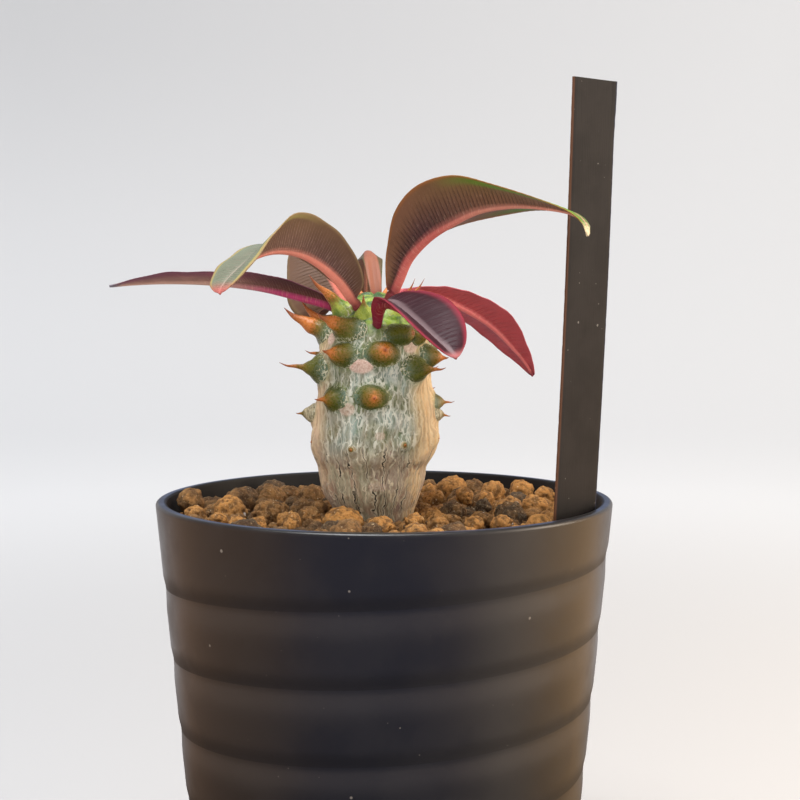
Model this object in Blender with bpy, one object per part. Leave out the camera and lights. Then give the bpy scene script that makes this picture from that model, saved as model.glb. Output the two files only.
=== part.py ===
"""Young pachypodium in a small black nursery pot, with a plain plant label.

Metres, +Z up. The origin is the centre of the pot's underside. The plant, the
potting mix and the label are laid out in millimetres: x and y from the pot's
axis, with the viewer at -Y, and height from the top of the pot's rim.
"""

import math
import random

import bmesh
import bpy
from mathutils import Vector
from mathutils.geometry import delaunay_2d_cdt

MM = 0.001
TURN = math.tau
CLEARANCE = 0.35            # gap between pieces that touch, in millimetres

# Pot: a 75 mm round pot with a spiral groove that climbs to the right.
POT_HEIGHT = 75.0
RIM_RADIUS = 37.5
WALL_TAPER = 0.095          # radius lost for each millimetre down the wall
WALL_THICKNESS = 1.9
FLOOR_THICKNESS = 1.6
FOOT_LIFT = 1.4             # the floor stands this far above the foot ring
FOOT_RING_RADIUS = 27.0
CENTRE_PAD_RADIUS = 14.0
DRAIN_HOLES = 6
DRAIN_HOLE_RADIUS = 3.0
POT_COLUMNS = 48
GROOVE_PITCH = 11.7
GROOVE_FRONT_HEIGHT = -11.3     # upper edge of the groove at the middle of the front
GROOVE_DEPTH = 0.35
GROOVE_RUN = 0.27               # part of the pitch in which the groove fades out downward
GROOVE_LIP = 0.10               # part of the pitch in which the wall steps in
GROOVE_START = (5.0, 7.5)       # the groove fades in between these depths below the rim
GROOVE_END = (4.0, 9.0)         # and out between these heights above the foot
GROOVED_TOP = -0.7
GROOVED_BOTTOM = 1.0 - POT_HEIGHT
MERGE_HEIGHT = 0.9              # wall rows nearer than this to an edge run along it

# Potting mix: a bed with granules on top.
BED_LEVEL = -3.6
GRANULE_SEED = 11
GRANULE_RADII = (1.4, 3.1)
GRANULE_SIDES = 6
GRANULE_TRIES = 1500            # places tried for each size of granule
GROUND_TRIES = 6000
GROUND_SPACING = 1.5
# The granules that show in front: x, y, diameter and the height of the top.
NAMED_GRANULES = (
    (-32.4, 3.4, 4.6, 0.9), (-30.9, -2.8, 3.9, -0.9), (-24.8, 6.4, 5.2, 0.6),
    (-26.2, -11.1, 3.6, -1.0), (-22.6, -14.4, 3.2, -1.1), (-19.6, -15.8, 3.0, -1.0),
    (-21.1, 18.0, 3.6, -0.3), (-17.2, 19.0, 4.2, -0.4), (-12.8, 15.6, 5.6, 0.0),
    (-18.4, -5.6, 5.4, 0.2), (-14.9, -13.2, 4.8, -0.4), (-12.0, -7.4, 3.6, -0.7),
    (-10.6, -1.8, 2.8, -0.4), (-6.3, -12.8, 6.4, 0.2), (-0.3, -16.6, 4.6, -0.6),
    (4.8, -15.8, 3.4, -0.5), (8.4, -17.0, 3.4, -0.9), (10.9, -13.6, 2.8, -0.9),
    (11.3, -4.7, 4.4, 0.1), (14.0, -17.0, 3.2, -0.8), (15.9, -12.2, 3.4, -0.8),
    (18.6, -15.9, 3.8, -0.5), (16.1, -2.4, 3.0, 0.0), (20.4, -5.4, 5.8, 0.0),
    (13.6, 8.2, 3.0, 0.5), (17.0, 5.2, 3.0, 0.3), (8.6, 9.6, 4.4, 0.0),
    (12.0, 24.0, 5.2, 0.4), (19.2, 18.0, 4.6, 0.2), (24.5, 21.4, 4.8, 0.2),
    (25.4, 4.4, 4.8, -0.3), (28.2, 15.6, 3.6, -0.2),
)

# Stem: height, trunk radius and x of the axis. Below the bed it is the taproot.
STEM_COLUMNS = 32
STEM_PROFILE = (
    (-20.0, 0.9, -1.8), (-14.0, 3.0, -1.8), (-8.0, 5.2, -1.8), (-3.6, 6.3, -1.8),
    (-1.5, 6.9, -1.9), (0.5, 7.8, -2.1), (2.8, 8.5, -2.0), (5.2, 8.9, -2.0),
    (6.8, 9.7, -1.8), (8.4, 10.1, -1.6), (10.4, 10.2, -1.5), (12.6, 10.0, -1.5),
    (15.2, 9.6, -1.5), (18.0, 9.2, -1.5), (20.5, 8.9, -1.5), (23.0, 8.7, -1.5),
    (25.4, 8.2, -1.5), (27.6, 7.3, -1.5), (29.4, 6.1, -1.5), (31.0, 4.7, -1.5),
    (32.2, 3.1, -1.5), (32.9, 1.5, -1.5),
)
STEM_TOP = 33.2

# Leaf places round the stem follow the golden angle. Place 0 is the pale scar at
# the front. Lower places have higher numbers.
GOLDEN_TURN = -137.0
FRONT_SCAR_ANGLE = -13.0    # degrees to the right of the viewer's side
FRONT_SCAR_HEIGHT = 22.6
PLACE_SPACING = 0.92
YOUNG_SPACING = 0.76        # places above place 0 stand closer
FIRST_PLACE = -12
LAST_GREEN_PLACE = 12
LAST_PLACE = 25
CUSHION_SPREAD = 3.4        # each spine stands this far to the side of its leaf place
CUSHION_RISE = 1.3          # and this far above it
CUSHION_SIDES = 7
CUSHION_ROOT = 1.8          # depth of a cushion's hidden end inside the trunk
HIDDEN_FROM = 96.0          # degrees from the front where the rule for cushions takes over
LEAF_ROOM = 1.3             # free space between a cushion and the foot of a leaf
# The cushions on the viewer's side: where each stands (angle, height), its width
# and height, where it points (heading, lift in degrees), how far it reaches, and
# the length and lift of its spine.
FRONT_CUSHIONS = (
    (-30, 23.7, 5.4, 4.5, -58, 15, 3.3, 1.6, 18),
    (7, 23.9, 5.2, 4.4, 10, 24, 3.0, 1.0, 20),
    (-39, 16.8, 5.0, 4.2, -62, 0, 2.4, 1.7, 0),
    (-2, 17.2, 4.8, 4.2, 12, 0, 2.4, 1.0, 0),
    (-72, 21.3, 5.0, 4.4, -84, 6, 3.2, 4.4, 8),
    (-86, 27.3, 5.0, 4.4, -92, 22, 2.9, 5.4, 30),
    (-34, 27.7, 4.8, 3.8, -60, 26, 3.4, 3.2, 22),
    (-60, 30.3, 3.2, 3.4, -65, 57, 2.6, 4.7, 44),
    (-15, 30.0, 2.6, 3.2, -15, 60, 1.6, 0.8, 60),
    (37, 30.4, 2.8, 3.0, 45, 55, 1.8, 1.4, 50),
    (26, 26.9, 4.2, 4.0, 28, 20, 2.2, 0.7, 20),
    (50, 27.0, 4.2, 4.0, 70, 12, 2.8, 1.4, 10),
    (44, 21.5, 4.6, 4.4, 68, 0, 3.0, 2.7, 4),
    (67, 23.4, 4.4, 4.2, 80, -4, 2.4, 1.0, 0),
    (82, 15.8, 3.4, 3.0, 88, 0, 1.9, 1.7, 2),
    (80, 13.9, 3.0, 2.6, 86, -6, 1.6, 1.2, -10),
    (-87, 13.9, 3.6, 3.2, -88, 0, 2.2, 1.1, 0),
    (-20, 8.9, 2.6, 2.2, -20, 0, 1.3, 0.6, 0),
    (29, 9.6, 2.4, 2.0, 30, 0, 1.2, 0.5, 0),
    (72, 10.0, 2.4, 2.2, 78, 5, 0.6, 0.3, 0),
    (-74, 9.4, 3.4, 3.0, -78, 0, 0.5, 0.3, 0),
    (76, 31.2, 2.6, 2.6, 74, 70, 1.8, 3.4, 60),
)

# Label: a flat strip that leans to the right, with its point in the mix.
LABEL_LEFT_FOOT = Vector((27.1, -17.0))
LABEL_RIGHT_FOOT = Vector((33.7, -9.0))
LABEL_TOP = 66.2
SLOT_TOP = 6.0              # the slot's cutter ends above the mix
LABEL_DEPTH = 27.0
LABEL_THICKNESS = 0.6
LABEL_TIP_WIDTH = 2.0
LABEL_LEAN = Vector((0.033, -0.03))     # sideways travel for each millimetre of height

# Leaves.
BLADE_THICKNESS = 0.62
MIDRIB_DEPTH = 0.9
STALK_LENGTH = 1.2          # straight start of a leaf, out from the stem
LEAF_STATIONS = 13
LEAF_COLUMNS = (-1.0, -0.55, -0.14, 0.0, 0.14, 0.55, 1.0)
LEAF_CAMBER = 0.07
# Each row: point on the midrib, then width and lift in degrees of the half to the
# left and to the right as one looks from the stem towards the tip.
LEAVES = {
    "leaf_right_arching": (
        ((0.5, -2.1, 32.5), (0.8, 0), (0.8, 0)),
        ((1.5, -2.8, 34.0), (0.8, 0), (1.4, 10)),
        ((2.4, -3.5, 35.9), (0.8, 0), (2.6, 20)),
        ((4.0, -4.5, 39.3), (1.0, 10), (4.2, 32)),
        ((7.0, -6.5, 42.4), (3.0, 10), (7.2, 40)),
        ((10.4, -9.0, 44.5), (6.0, 5), (8.6, 45)),
        ((14.7, -12.0, 46.4), (7.5, -2), (8.0, 41)),
        ((19.3, -15.6, 47.0), (6.5, -4), (6.2, 30)),
        ((23.7, -19.5, 46.6), (4.6, -6), (4.2, 22)),
        ((27.9, -22.5, 45.6), (2.2, -10), (2.2, 12)),
        ((29.8, -24.0, 44.0), (1.1, 0), (1.1, 5)),
        ((30.2, -24.8, 42.1), (0.4, 0), (0.4, 0)),
    ),
    "leaf_left_arching": (
        ((-4.4, -4.2, 32.0), (0.8, 0), (0.8, 0)),
        ((-5.0, -5.2, 32.8), (0.8, 0), (0.8, 0)),
        ((-5.9, -6.2, 34.0), (1.8, 20), (1.4, 10)),
        ((-7.4, -8.0, 35.9), (3.4, 30), (2.6, 10)),
        ((-10.0, -10.5, 38.2), (5.0, 38), (4.4, 12)),
        ((-12.9, -13.5, 39.7), (6.8, 46), (5.8, 12)),
        ((-16.0, -17.0, 40.1), (7.4, 50), (6.2, 8)),
        ((-18.7, -20.5, 39.3), (6.0, 38), (5.2, 2)),
        ((-21.1, -24.0, 37.4), (4.2, 20), (4.8, 0)),
        ((-22.9, -26.5, 35.3), (2.4, 5), (3.2, -3)),
        ((-23.7, -28.0, 33.6), (0.4, 0), (0.4, 0)),
    ),
    "leaf_left_long": (
        ((-8.0, 0.7, 31.4), (0.8, 0), (0.8, 0)),
        ((-9.6, 1.0, 32.0), (1.2, 10), (1.2, 10)),
        ((-13.9, 1.5, 33.1), (2.8, 25), (3.0, 10)),
        ((-20.7, 2.0, 34.6), (4.8, 22), (5.0, 5)),
        ((-28.9, 3.0, 35.4), (5.3, 18), (5.5, 5)),
        ((-36.0, 3.7, 35.5), (4.4, 18), (4.5, 5)),
        ((-42.0, 4.5, 35.2), (2.5, 10), (2.5, 0)),
        ((-46.0, 5.0, 34.8), (0.4, 0), (0.4, 0)),
    ),
    "leaf_back_left": (
        ((-6.2, 4.6, 30.6), (0.8, 0), (0.8, 0)),
        ((-6.9, 6.0, 32.6), (2.6, -32), (1.4, 10)),
        ((-8.0, 8.5, 34.5), (6.4, -34), (2.8, 10)),
        ((-9.5, 11.5, 36.8), (7.3, -32), (4.6, 10)),
        ((-11.5, 14.5, 39.3), (6.2, -30), (4.8, 6)),
        ((-13.4, 17.5, 41.6), (3.9, -26), (3.4, 4)),
        ((-14.6, 19.8, 43.0), (0.4, 0), (0.4, 0)),
    ),
    "leaf_back_middle": (
        ((-1.3, 5.6, 32.2), (0.8, 0), (0.8, 0)),
        ((-1.7, 7.0, 35.0), (1.5, 10), (1.5, 10)),
        ((-2.3, 10.5, 38.8), (1.8, 10), (2.8, 10)),
        ((-2.8, 14.5, 40.6), (2.3, 8), (3.8, 8)),
        ((-3.3, 20.0, 40.8), (2.7, 5), (4.2, 5)),
        ((-3.6, 27.0, 38.8), (2.8, 0), (4.0, 0)),
        ((-3.8, 33.0, 35.0), (2.3, 0), (2.4, 0)),
        ((-3.9, 37.0, 31.0), (0.4, 0), (0.4, 0)),
    ),
    "leaf_right_back": (
        ((1.4, 4.0, 32.9), (0.8, 0), (0.8, 0)),
        ((3.4, 6.5, 34.1), (1.6, 0), (1.4, 10)),
        ((7.7, 11.0, 33.5), (3.5, 0), (3.2, 22)),
        ((13.0, 16.0, 31.3), (4.8, 0), (4.6, 24)),
        ((18.6, 21.0, 27.9), (5.2, 0), (4.8, 22)),
        ((23.5, 26.0, 23.2), (3.8, 0), (2.8, 14)),
        ((26.0, 28.2, 20.2), (2.0, 0), (1.4, 5)),
        ((27.0, 29.0, 18.3), (0.4, 0), (0.4, 0)),
    ),
    "leaf_front": (
        ((-1.0, -8.4, 29.6), (0.8, 0), (0.8, 0)),
        ((-0.7, -9.4, 31.3), (1.1, 0), (1.1, 0)),
        ((0.6, -11.0, 32.0), (3.0, 25), (2.6, 20)),
        ((2.6, -14.0, 31.2), (5.2, 32), (4.0, 25)),
        ((4.9, -17.3, 29.5), (6.2, 33), (4.5, 25)),
        ((7.4, -20.8, 27.3), (5.7, 30), (4.2, 22)),
        ((9.5, -23.4, 25.4), (3.6, 22), (2.5, 15)),
        ((10.9, -25.0, 24.1), (0.4, 0), (0.4, 0)),
    ),
}

# Finish of each piece: colour, roughness.
FINISHES = {
    "pot": ((0.022, 0.021, 0.021), 0.42),
    "soil": ((0.40, 0.21, 0.09), 0.95),
    "stem": ((0.42, 0.43, 0.32), 0.75),
    "label": ((0.045, 0.040, 0.036), 0.60),
    "leaf_right_arching": ((0.26, 0.12, 0.08), 0.55),
    "leaf_left_arching": ((0.24, 0.12, 0.09), 0.55),
    "leaf_left_long": ((0.24, 0.09, 0.08), 0.55),
    "leaf_back_left": ((0.28, 0.18, 0.09), 0.55),
    "leaf_back_middle": ((0.30, 0.16, 0.10), 0.55),
    "leaf_right_back": ((0.42, 0.06, 0.09), 0.50),
    "leaf_front": ((0.14, 0.05, 0.07), 0.35),
}


def above_rim(x, y, height):
    """A point in metres from millimetres measured from the rim."""
    return Vector((x, y, POT_HEIGHT + height)) * MM


def smooth_step(value, start, end):
    share = min(max((value - start) / (end - start), 0.0), 1.0)
    return share * share * (3.0 - 2.0 * share)


def stem_at(height):
    """Radius and x of the axis of the trunk, or of its root, at any height."""
    for below, above in zip(STEM_PROFILE, STEM_PROFILE[1:]):
        if height <= above[0]:
            share = max(height - below[0], 0.0) / (above[0] - below[0])
            return [low + (high - low) * share for low, high in zip(below[1:], above[1:])]
    return STEM_PROFILE[-1][1:]


def finish_of(name):
    colour, roughness = FINISHES[name]
    material = bpy.data.materials.new(name)
    material.use_nodes = True
    shader = material.node_tree.nodes["Principled BSDF"]
    shader.inputs["Base Color"].default_value = (*colour, 1.0)
    shader.inputs["Roughness"].default_value = roughness
    shader.inputs["Metallic"].default_value = 0.0
    return material


def make_solid(name, points, faces, sharp_angle=40.0):
    """Make one closed object from points in metres and faces."""
    shape = bmesh.new()
    corners = [shape.verts.new(point) for point in points]
    for face in faces:
        shape.faces.new([corners[index] for index in face])
    bmesh.ops.recalc_face_normals(shape, faces=shape.faces)
    mesh = bpy.data.meshes.new(name)
    shape.to_mesh(mesh)
    shape.free()
    mesh.shade_smooth()
    mesh.set_sharp_from_angle(angle=math.radians(sharp_angle))
    piece = bpy.data.objects.new(name, mesh)
    bpy.context.scene.collection.objects.link(piece)
    return piece


def loft(rings, close_start=True, close_end=True):
    """Points and faces of a skin over rings that have the same number of points."""
    count = len(rings[0])
    points = [point for ring in rings for point in ring]
    faces = []
    for ring in range(len(rings) - 1):
        for side in range(count):
            low = ring * count + side
            beside = ring * count + (side + 1) % count
            faces.append((low, beside, beside + count, low + count))
    if close_start:
        faces.append(tuple(range(count)))
    if close_end:
        first = (len(rings) - 1) * count
        faces.append(tuple(range(first, first + count)))
    return points, faces


def circle(radius, height, sides, centre_x=0.0):
    return [above_rim(centre_x + radius * math.cos(TURN * side / sides),
                      radius * math.sin(TURN * side / sides), height)
            for side in range(sides)]


def combine(target, tools, operation, solver):
    """Apply one Boolean between an object and a list of tools, and drop the tools."""
    group = bpy.data.collections.new("tools")
    for tool in tools:
        group.objects.link(tool)
    step = target.modifiers.new(operation.lower(), "BOOLEAN")
    step.operation = operation
    step.solver = solver
    step.operand_type = "COLLECTION"
    step.collection = group
    graph = bpy.context.evaluated_depsgraph_get()
    result = bpy.data.meshes.new_from_object(target.evaluated_get(graph))
    target.modifiers.remove(step)
    target.data = result
    for tool in tools:
        bpy.data.objects.remove(tool)
    bpy.data.collections.remove(group)


# Pot

def wall_radius(height):
    """Radius of the plain outer wall at a height above the rim (so below zero)."""
    return RIM_RADIUS + WALL_TAPER * height


def groove_line(angle):
    """Height of the groove's upper edge, for an angle anticlockwise from +X."""
    return GROOVE_FRONT_HEIGHT + GROOVE_PITCH * (angle / TURN - 0.75)


def groove_cut(angle, height):
    """How far the spiral groove goes into the wall."""
    phase = ((groove_line(angle) - height) / GROOVE_PITCH) % 1.0
    cut = max(1.0 - phase / GROOVE_RUN, (phase - 1.0 + GROOVE_LIP) / GROOVE_LIP, 0.0)
    cut *= smooth_step(-height, *GROOVE_START)
    cut *= smooth_step(POT_HEIGHT + height, *GROOVE_END)
    return GROOVE_DEPTH * cut


def spiral_wall(top, bottom):
    """Points and faces of the grooved wall. Its rows climb with the groove."""
    knees = (0.0, GROOVE_RUN, 0.58, 1.0 - GROOVE_LIP)
    turns = range(-2, math.ceil(POT_HEIGHT / GROOVE_PITCH) + 1)
    rows = [turn + knee for turn in turns for knee in knees]
    points, places = [], {}

    def corner(row, column):
        angle = TURN * column / POT_COLUMNS
        height = groove_line(angle) - GROOVE_PITCH * row
        if height > top - MERGE_HEIGHT:
            height = top
        if height < bottom + MERGE_HEIGHT:
            height = bottom
        key = (column % POT_COLUMNS, round(height, 4))
        if key not in places:
            radius = wall_radius(height) - groove_cut(angle, height)
            places[key] = len(points)
            points.append(above_rim(radius * math.cos(angle), radius * math.sin(angle), height))
        return places[key]

    faces = []
    for upper, lower in zip(rows, rows[1:]):
        for column in range(POT_COLUMNS):
            ring = (corner(upper, column), corner(upper, column + 1),
                    corner(lower, column + 1), corner(lower, column))
            face = tuple(dict.fromkeys(ring))
            if len(face) > 2:
                faces.append(face)
    edges = [[places[(column, round(height, 4))] for column in range(POT_COLUMNS)]
             for height in (top, bottom)]
    return points, faces, edges


def build_pot():
    points, faces, (top_edge, bottom_edge) = spiral_wall(GROOVED_TOP, GROOVED_BOTTOM)
    inside = RIM_RADIUS - WALL_THICKNESS
    floor = FOOT_LIFT + FLOOR_THICKNESS - POT_HEIGHT
    over = ((RIM_RADIUS - 0.15, -0.35), (RIM_RADIUS - 0.6, 0.0), (inside + 0.35, 0.0),
            (inside, -0.4), (inside + WALL_TAPER * floor, floor))
    channel = FOOT_LIFT - POT_HEIGHT
    foot = wall_radius(-POT_HEIGHT)
    under = ((foot - 0.6, -POT_HEIGHT), (FOOT_RING_RADIUS, -POT_HEIGHT),
             (FOOT_RING_RADIUS - 0.6, channel), (CENTRE_PAD_RADIUS + 0.6, channel),
             (CENTRE_PAD_RADIUS, -POT_HEIGHT))
    for start, profile in ((top_edge, over), (bottom_edge, under)):
        edge = start
        for radius, height in profile:
            ring = range(len(points), len(points) + POT_COLUMNS)
            points += circle(radius, height, POT_COLUMNS)
            for side in range(POT_COLUMNS):
                after = (side + 1) % POT_COLUMNS
                faces.append((edge[side], edge[after], ring[after], ring[side]))
            edge = ring
        faces.append(tuple(edge))
    pot = make_solid("pot", points, faces)

    drills = []
    ring_radius = 0.5 * (FOOT_RING_RADIUS + CENTRE_PAD_RADIUS)
    for hole in range(DRAIN_HOLES):
        angle = TURN * (hole + 0.5) / DRAIN_HOLES
        centre = Vector((math.cos(angle), math.sin(angle), 0.0)) * ring_radius * MM
        rings = [[centre + Vector((DRAIN_HOLE_RADIUS * math.cos(TURN * side / 16),
                                   DRAIN_HOLE_RADIUS * math.sin(TURN * side / 16),
                                   height)) * MM for side in range(16)]
                 for height in (0.5 * FOOT_LIFT, FOOT_LIFT + 2.0 * FLOOR_THICKNESS)]
        drills.append(make_solid("drain_drill", *loft(rings)))
    combine(pot, drills, "DIFFERENCE", "EXACT")
    return pot


# Potting mix

def bed_radius(height):
    inside = RIM_RADIUS - WALL_THICKNESS
    return inside + WALL_TAPER * height - CLEARANCE


def lay_granules():
    """Granules as (x, y, radius, top), the named ones first and then the rest."""
    draw = random.Random(GRANULE_SEED)
    granules = [(x, y, 0.5 * width, top) for x, y, width, top in NAMED_GRANULES]
    edge = bed_radius(BED_LEVEL)
    stem_radius, stem_x = stem_at(BED_LEVEL)
    stem_edge = stem_radius + CLEARANCE
    strip = LABEL_RIGHT_FOOT - LABEL_LEFT_FOOT
    for shrink in (1.0, 0.75, 0.5):
        for _ in range(GRANULE_TRIES):
            x, y = draw.uniform(-edge, edge), draw.uniform(-edge, edge)
            radius = GRANULE_RADII[0] + (GRANULE_RADII[1] - GRANULE_RADII[0]) * shrink * draw.random()
            top = BED_LEVEL + radius * draw.uniform(0.75, 1.35)
            along = min(max((Vector((x, y)) - LABEL_LEFT_FOOT).dot(strip) / strip.length_squared, 0), 1)
            gaps = (edge - math.hypot(x, y) - 0.75 * radius,
                    math.hypot(x - stem_x, y) - stem_edge - 0.85 * radius,
                    (Vector((x, y)) - LABEL_LEFT_FOOT - strip * along).length - 0.7 * radius - 0.6)
            if min(gaps) < 0.0:
                continue
            if all(math.hypot(x - other[0], y - other[1]) > 0.93 * (radius + other[2])
                   for other in granules):
                granules.append((x, y, radius, top))
    return granules


def build_soil():
    """Bed of granules: faceted domes joined by low ground, over a plain plug."""
    draw = random.Random(GRANULE_SEED + 1)
    granules = lay_granules()
    edge_radius = bed_radius(BED_LEVEL)
    hole_heights = (BED_LEVEL, -8.0, -14.0, -20.0 - CLEARANCE)
    hole_radii = [stem_at(height)[0] + CLEARANCE for height in hole_heights]
    hole_x = stem_at(BED_LEVEL)[1]

    spots = [(edge_radius * math.cos(TURN * side / POT_COLUMNS),
              edge_radius * math.sin(TURN * side / POT_COLUMNS), BED_LEVEL)
             for side in range(POT_COLUMNS)]
    hole_start = len(spots)
    spots += [(hole_x + hole_radii[0] * math.cos(TURN * side / STEM_COLUMNS),
               hole_radii[0] * math.sin(TURN * side / STEM_COLUMNS), BED_LEVEL)
              for side in range(STEM_COLUMNS)]
    hole_end = len(spots)
    for x, y, radius, top in granules:
        spots.append((x, y, top))
        twist = draw.random()
        for side in range(GRANULE_SIDES):
            angle = TURN * (side + twist) / GRANULE_SIDES
            reach = radius * draw.uniform(0.60, 0.78)
            spot = Vector((x + reach * math.cos(angle), y + reach * math.sin(angle)))
            level = top - (top - BED_LEVEL) * draw.uniform(0.12, 0.4)
            stem_radius, stem_x = stem_at(level)
            clear_of_wall = edge_radius - spot.length
            clear_of_stem = math.hypot(spot.x - stem_x, spot.y) - stem_radius
            if clear_of_wall > 0.4 and clear_of_stem > 0.5 + CLEARANCE:
                spots.append((spot.x, spot.y, level))
    ground = []
    for _ in range(GROUND_TRIES):
        x, y = draw.uniform(-35, 35), draw.uniform(-35, 35)
        if edge_radius - math.hypot(x, y) < 0.8:
            continue
        if math.hypot(x - hole_x, y) - hole_radii[0] < 0.8:
            continue
        if any(math.hypot(x - a, y - b) < 0.98 * radius for a, b, radius, _ in granules):
            continue
        if all(math.hypot(x - a, y - b) > GROUND_SPACING for a, b in ground):
            ground.append((x, y))
            spots.append((x, y, BED_LEVEL + draw.uniform(-0.7, 0.3)))

    flat = [Vector(spot[:2]) for spot in spots]
    fences = [(side, (side + 1) % POT_COLUMNS) for side in range(POT_COLUMNS)]
    fences += [(hole_start + side, hole_start + (side + 1) % STEM_COLUMNS)
               for side in range(STEM_COLUMNS)]
    triangles = delaunay_2d_cdt(flat, fences, [], 0, 1e-6)[2]
    faces = []
    for triangle in triangles:
        if all(hole_start <= index < hole_end for index in triangle):
            continue
        faces.append(tuple(triangle))
    points = [above_rim(*spot) for spot in spots]

    def skirt(start, count, rings):
        """Walls down from a closed row of points, with the last ring closed."""
        edge = range(start, start + count)
        for ring in rings:
            below = range(len(points), len(points) + count)
            points.extend(ring)
            for side in range(count):
                after = (side + 1) % count
                faces.append((edge[side], edge[after], below[after], below[side]))
            edge = below
        faces.append(tuple(edge))

    bottom = FOOT_LIFT + FLOOR_THICKNESS + CLEARANCE - POT_HEIGHT
    skirt(0, POT_COLUMNS, [circle(bed_radius(bottom), bottom, POT_COLUMNS)])
    skirt(hole_start, STEM_COLUMNS,
          [circle(radius, height, STEM_COLUMNS, hole_x)
           for radius, height in zip(hole_radii[1:], hole_heights[1:])])
    soil = make_solid("soil", points, faces, sharp_angle=25.0)
    slot = make_solid("label_slot", *loft(label_sections(CLEARANCE)))
    combine(soil, [slot], "DIFFERENCE", "MANIFOLD")
    return soil


# Stem

def leaf_place(number):
    """Angle in radians (0 faces the viewer, positive to the right) and height."""
    angle = math.radians(FRONT_SCAR_ANGLE + GOLDEN_TURN * number)
    spacing = YOUNG_SPACING if number < 0 else PLACE_SPACING
    return math.remainder(angle, TURN), FRONT_SCAR_HEIGHT - spacing * number


def stem_surface(angle, height):
    """Point on the bare trunk and the direction straight out of it there."""
    height = min(height, STEM_TOP - 0.6)
    radius, axis_x = stem_at(height)
    slope = stem_at(height + 0.5)[0] - stem_at(height - 0.5)[0]
    outward = Vector((math.sin(angle), -math.cos(angle), -slope)).normalized()
    point = Vector((axis_x + radius * math.sin(angle), -radius * math.cos(angle), height))
    return point, outward


def cushion_size(number):
    """Width, height, reach, spine length and lift of the cushions at a leaf place."""
    if number < -8:
        return 2.4, 2.4, 1.2, 3.0, 50
    if number < -5:
        return 4.0, 3.8, 2.4, 4.4, 42
    if number < 0:
        return 4.8, 4.2, 2.6, 2.8, 26
    if number < 6:
        return 5.2, 4.4, 3.0, 3.0, 8
    fade = (number - 6) / (LAST_GREEN_PLACE - 6)
    return 4.8 - 1.2 * fade, 4.2 - 1.2 * fade, 2.4 - 1.0 * fade, 2.2 - 1.2 * fade, 0


def hidden_cushions():
    """Rows like those of FRONT_CUSHIONS for the side away from the viewer."""
    rows = []
    feet = [Vector(leaf[0][0]) for leaf in LEAVES.values()]
    for number in range(FIRST_PLACE, LAST_GREEN_PLACE + 1):
        place, height = leaf_place(number)
        height = min(height + CUSHION_RISE, STEM_TOP - 0.6)
        radius = stem_at(height)[0]
        width, tall, reach, spine, lift = cushion_size(number)
        for side in (-1, 1):
            turn = math.remainder(place + side * min(CUSHION_SPREAD / radius, 0.62), TURN)
            angle = math.degrees(turn)
            base = stem_surface(turn, height)[0]
            room = min((base - foot).length for foot in feet) - 0.5 * width
            if abs(angle) > HIDDEN_FROM and room > LEAF_ROOM:
                rows.append((angle, height, width, tall, angle + 8 * side, 0.8 * lift, reach,
                             spine, lift))
    return rows


def pointing(heading, lift):
    heading, lift = math.radians(heading), math.radians(lift)
    return Vector((math.sin(heading) * math.cos(lift), -math.cos(heading) * math.cos(lift),
                   math.sin(lift)))


def build_cushion(angle, height, width, tall, heading, lift, reach, spine, spine_lift):
    """A green cushion that narrows into a spine, from inside the trunk to its tip."""
    base, outward = stem_surface(math.radians(angle), height)
    across = Vector((0, 0, 1)).cross(outward).normalized()
    upright = outward.cross(across)
    lean = pointing(heading, lift)
    apex = base + lean * reach
    way = pointing(heading, spine_lift)
    stations = (
        (base - outward * CUSHION_ROOT, 1.0),
        (base + outward * 0.2, 0.98),
        (base + outward * 0.3 * reach + lean * 0.35 * reach, 0.68),
        (apex, 0.19),
        (apex + way * 0.55 * spine, 0.10),
        (apex + way * spine + Vector((0, 0, 0.08 * spine)), 0.03),
    )
    rings = []
    for centre, size in stations:
        ring = []
        for corner in range(CUSHION_SIDES):
            turn = TURN * corner / CUSHION_SIDES
            spot = (centre + across * (0.5 * width * size * math.cos(turn))
                    + upright * (0.5 * tall * size * math.sin(turn)))
            ring.append(above_rim(*spot))
        rings.append(ring)
    return make_solid("cushion", *loft(rings))


def old_cushions(angle, height):
    """Low swellings on the bark where old cushions have worn flat."""
    swell = 0.0
    for number in range(LAST_GREEN_PLACE - 2, LAST_PLACE):
        place_angle, place_height = leaf_place(number)
        radius = stem_at(place_height)[0]
        for side in (-1, 1):
            turn = (angle - place_angle - side * CUSHION_SPREAD / radius + math.pi) % TURN - math.pi
            away = math.hypot(turn * radius / 2.3, (height - place_height - CUSHION_RISE) / 1.9)
            swell = max(swell, 0.75 * math.exp(-away * away))
    return swell * smooth_step(height, 1.0, 3.5)


def build_stem():
    rings = []
    for height, radius, axis_x in STEM_PROFILE:
        ring = []
        for side in range(STEM_COLUMNS):
            turn = TURN * side / STEM_COLUMNS
            reach = radius + old_cushions(turn + 0.25 * TURN, height)
            ring.append(above_rim(axis_x + reach * math.cos(turn), reach * math.sin(turn), height))
        rings.append(ring)
    stem = make_solid("stem", *loft(rings))
    cushions = [build_cushion(*row) for row in (*FRONT_CUSHIONS, *hidden_cushions())]
    combine(stem, cushions, "UNION", "MANIFOLD")
    stem.data.shade_smooth()
    stem.data.set_sharp_from_angle(angle=math.radians(50.0))
    return stem


# Leaves

def through(rows, share):
    """Smooth curve through equally weighted rows of numbers, for a share from 0 to 1."""
    spot = share * (len(rows) - 1)
    index = min(int(spot), len(rows) - 2)
    t = spot - index
    before = rows[max(index - 1, 0)]
    start, end = rows[index], rows[index + 1]
    after = rows[min(index + 2, len(rows) - 1)]
    values = []
    for a, b, c, d in zip(before, start, end, after):
        values.append(0.5 * (2 * b + (c - a) * t + (2 * a - 5 * b + 4 * c - d) * t * t
                             + (3 * b - a - 3 * c + d) * t ** 3))
    return values


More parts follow.
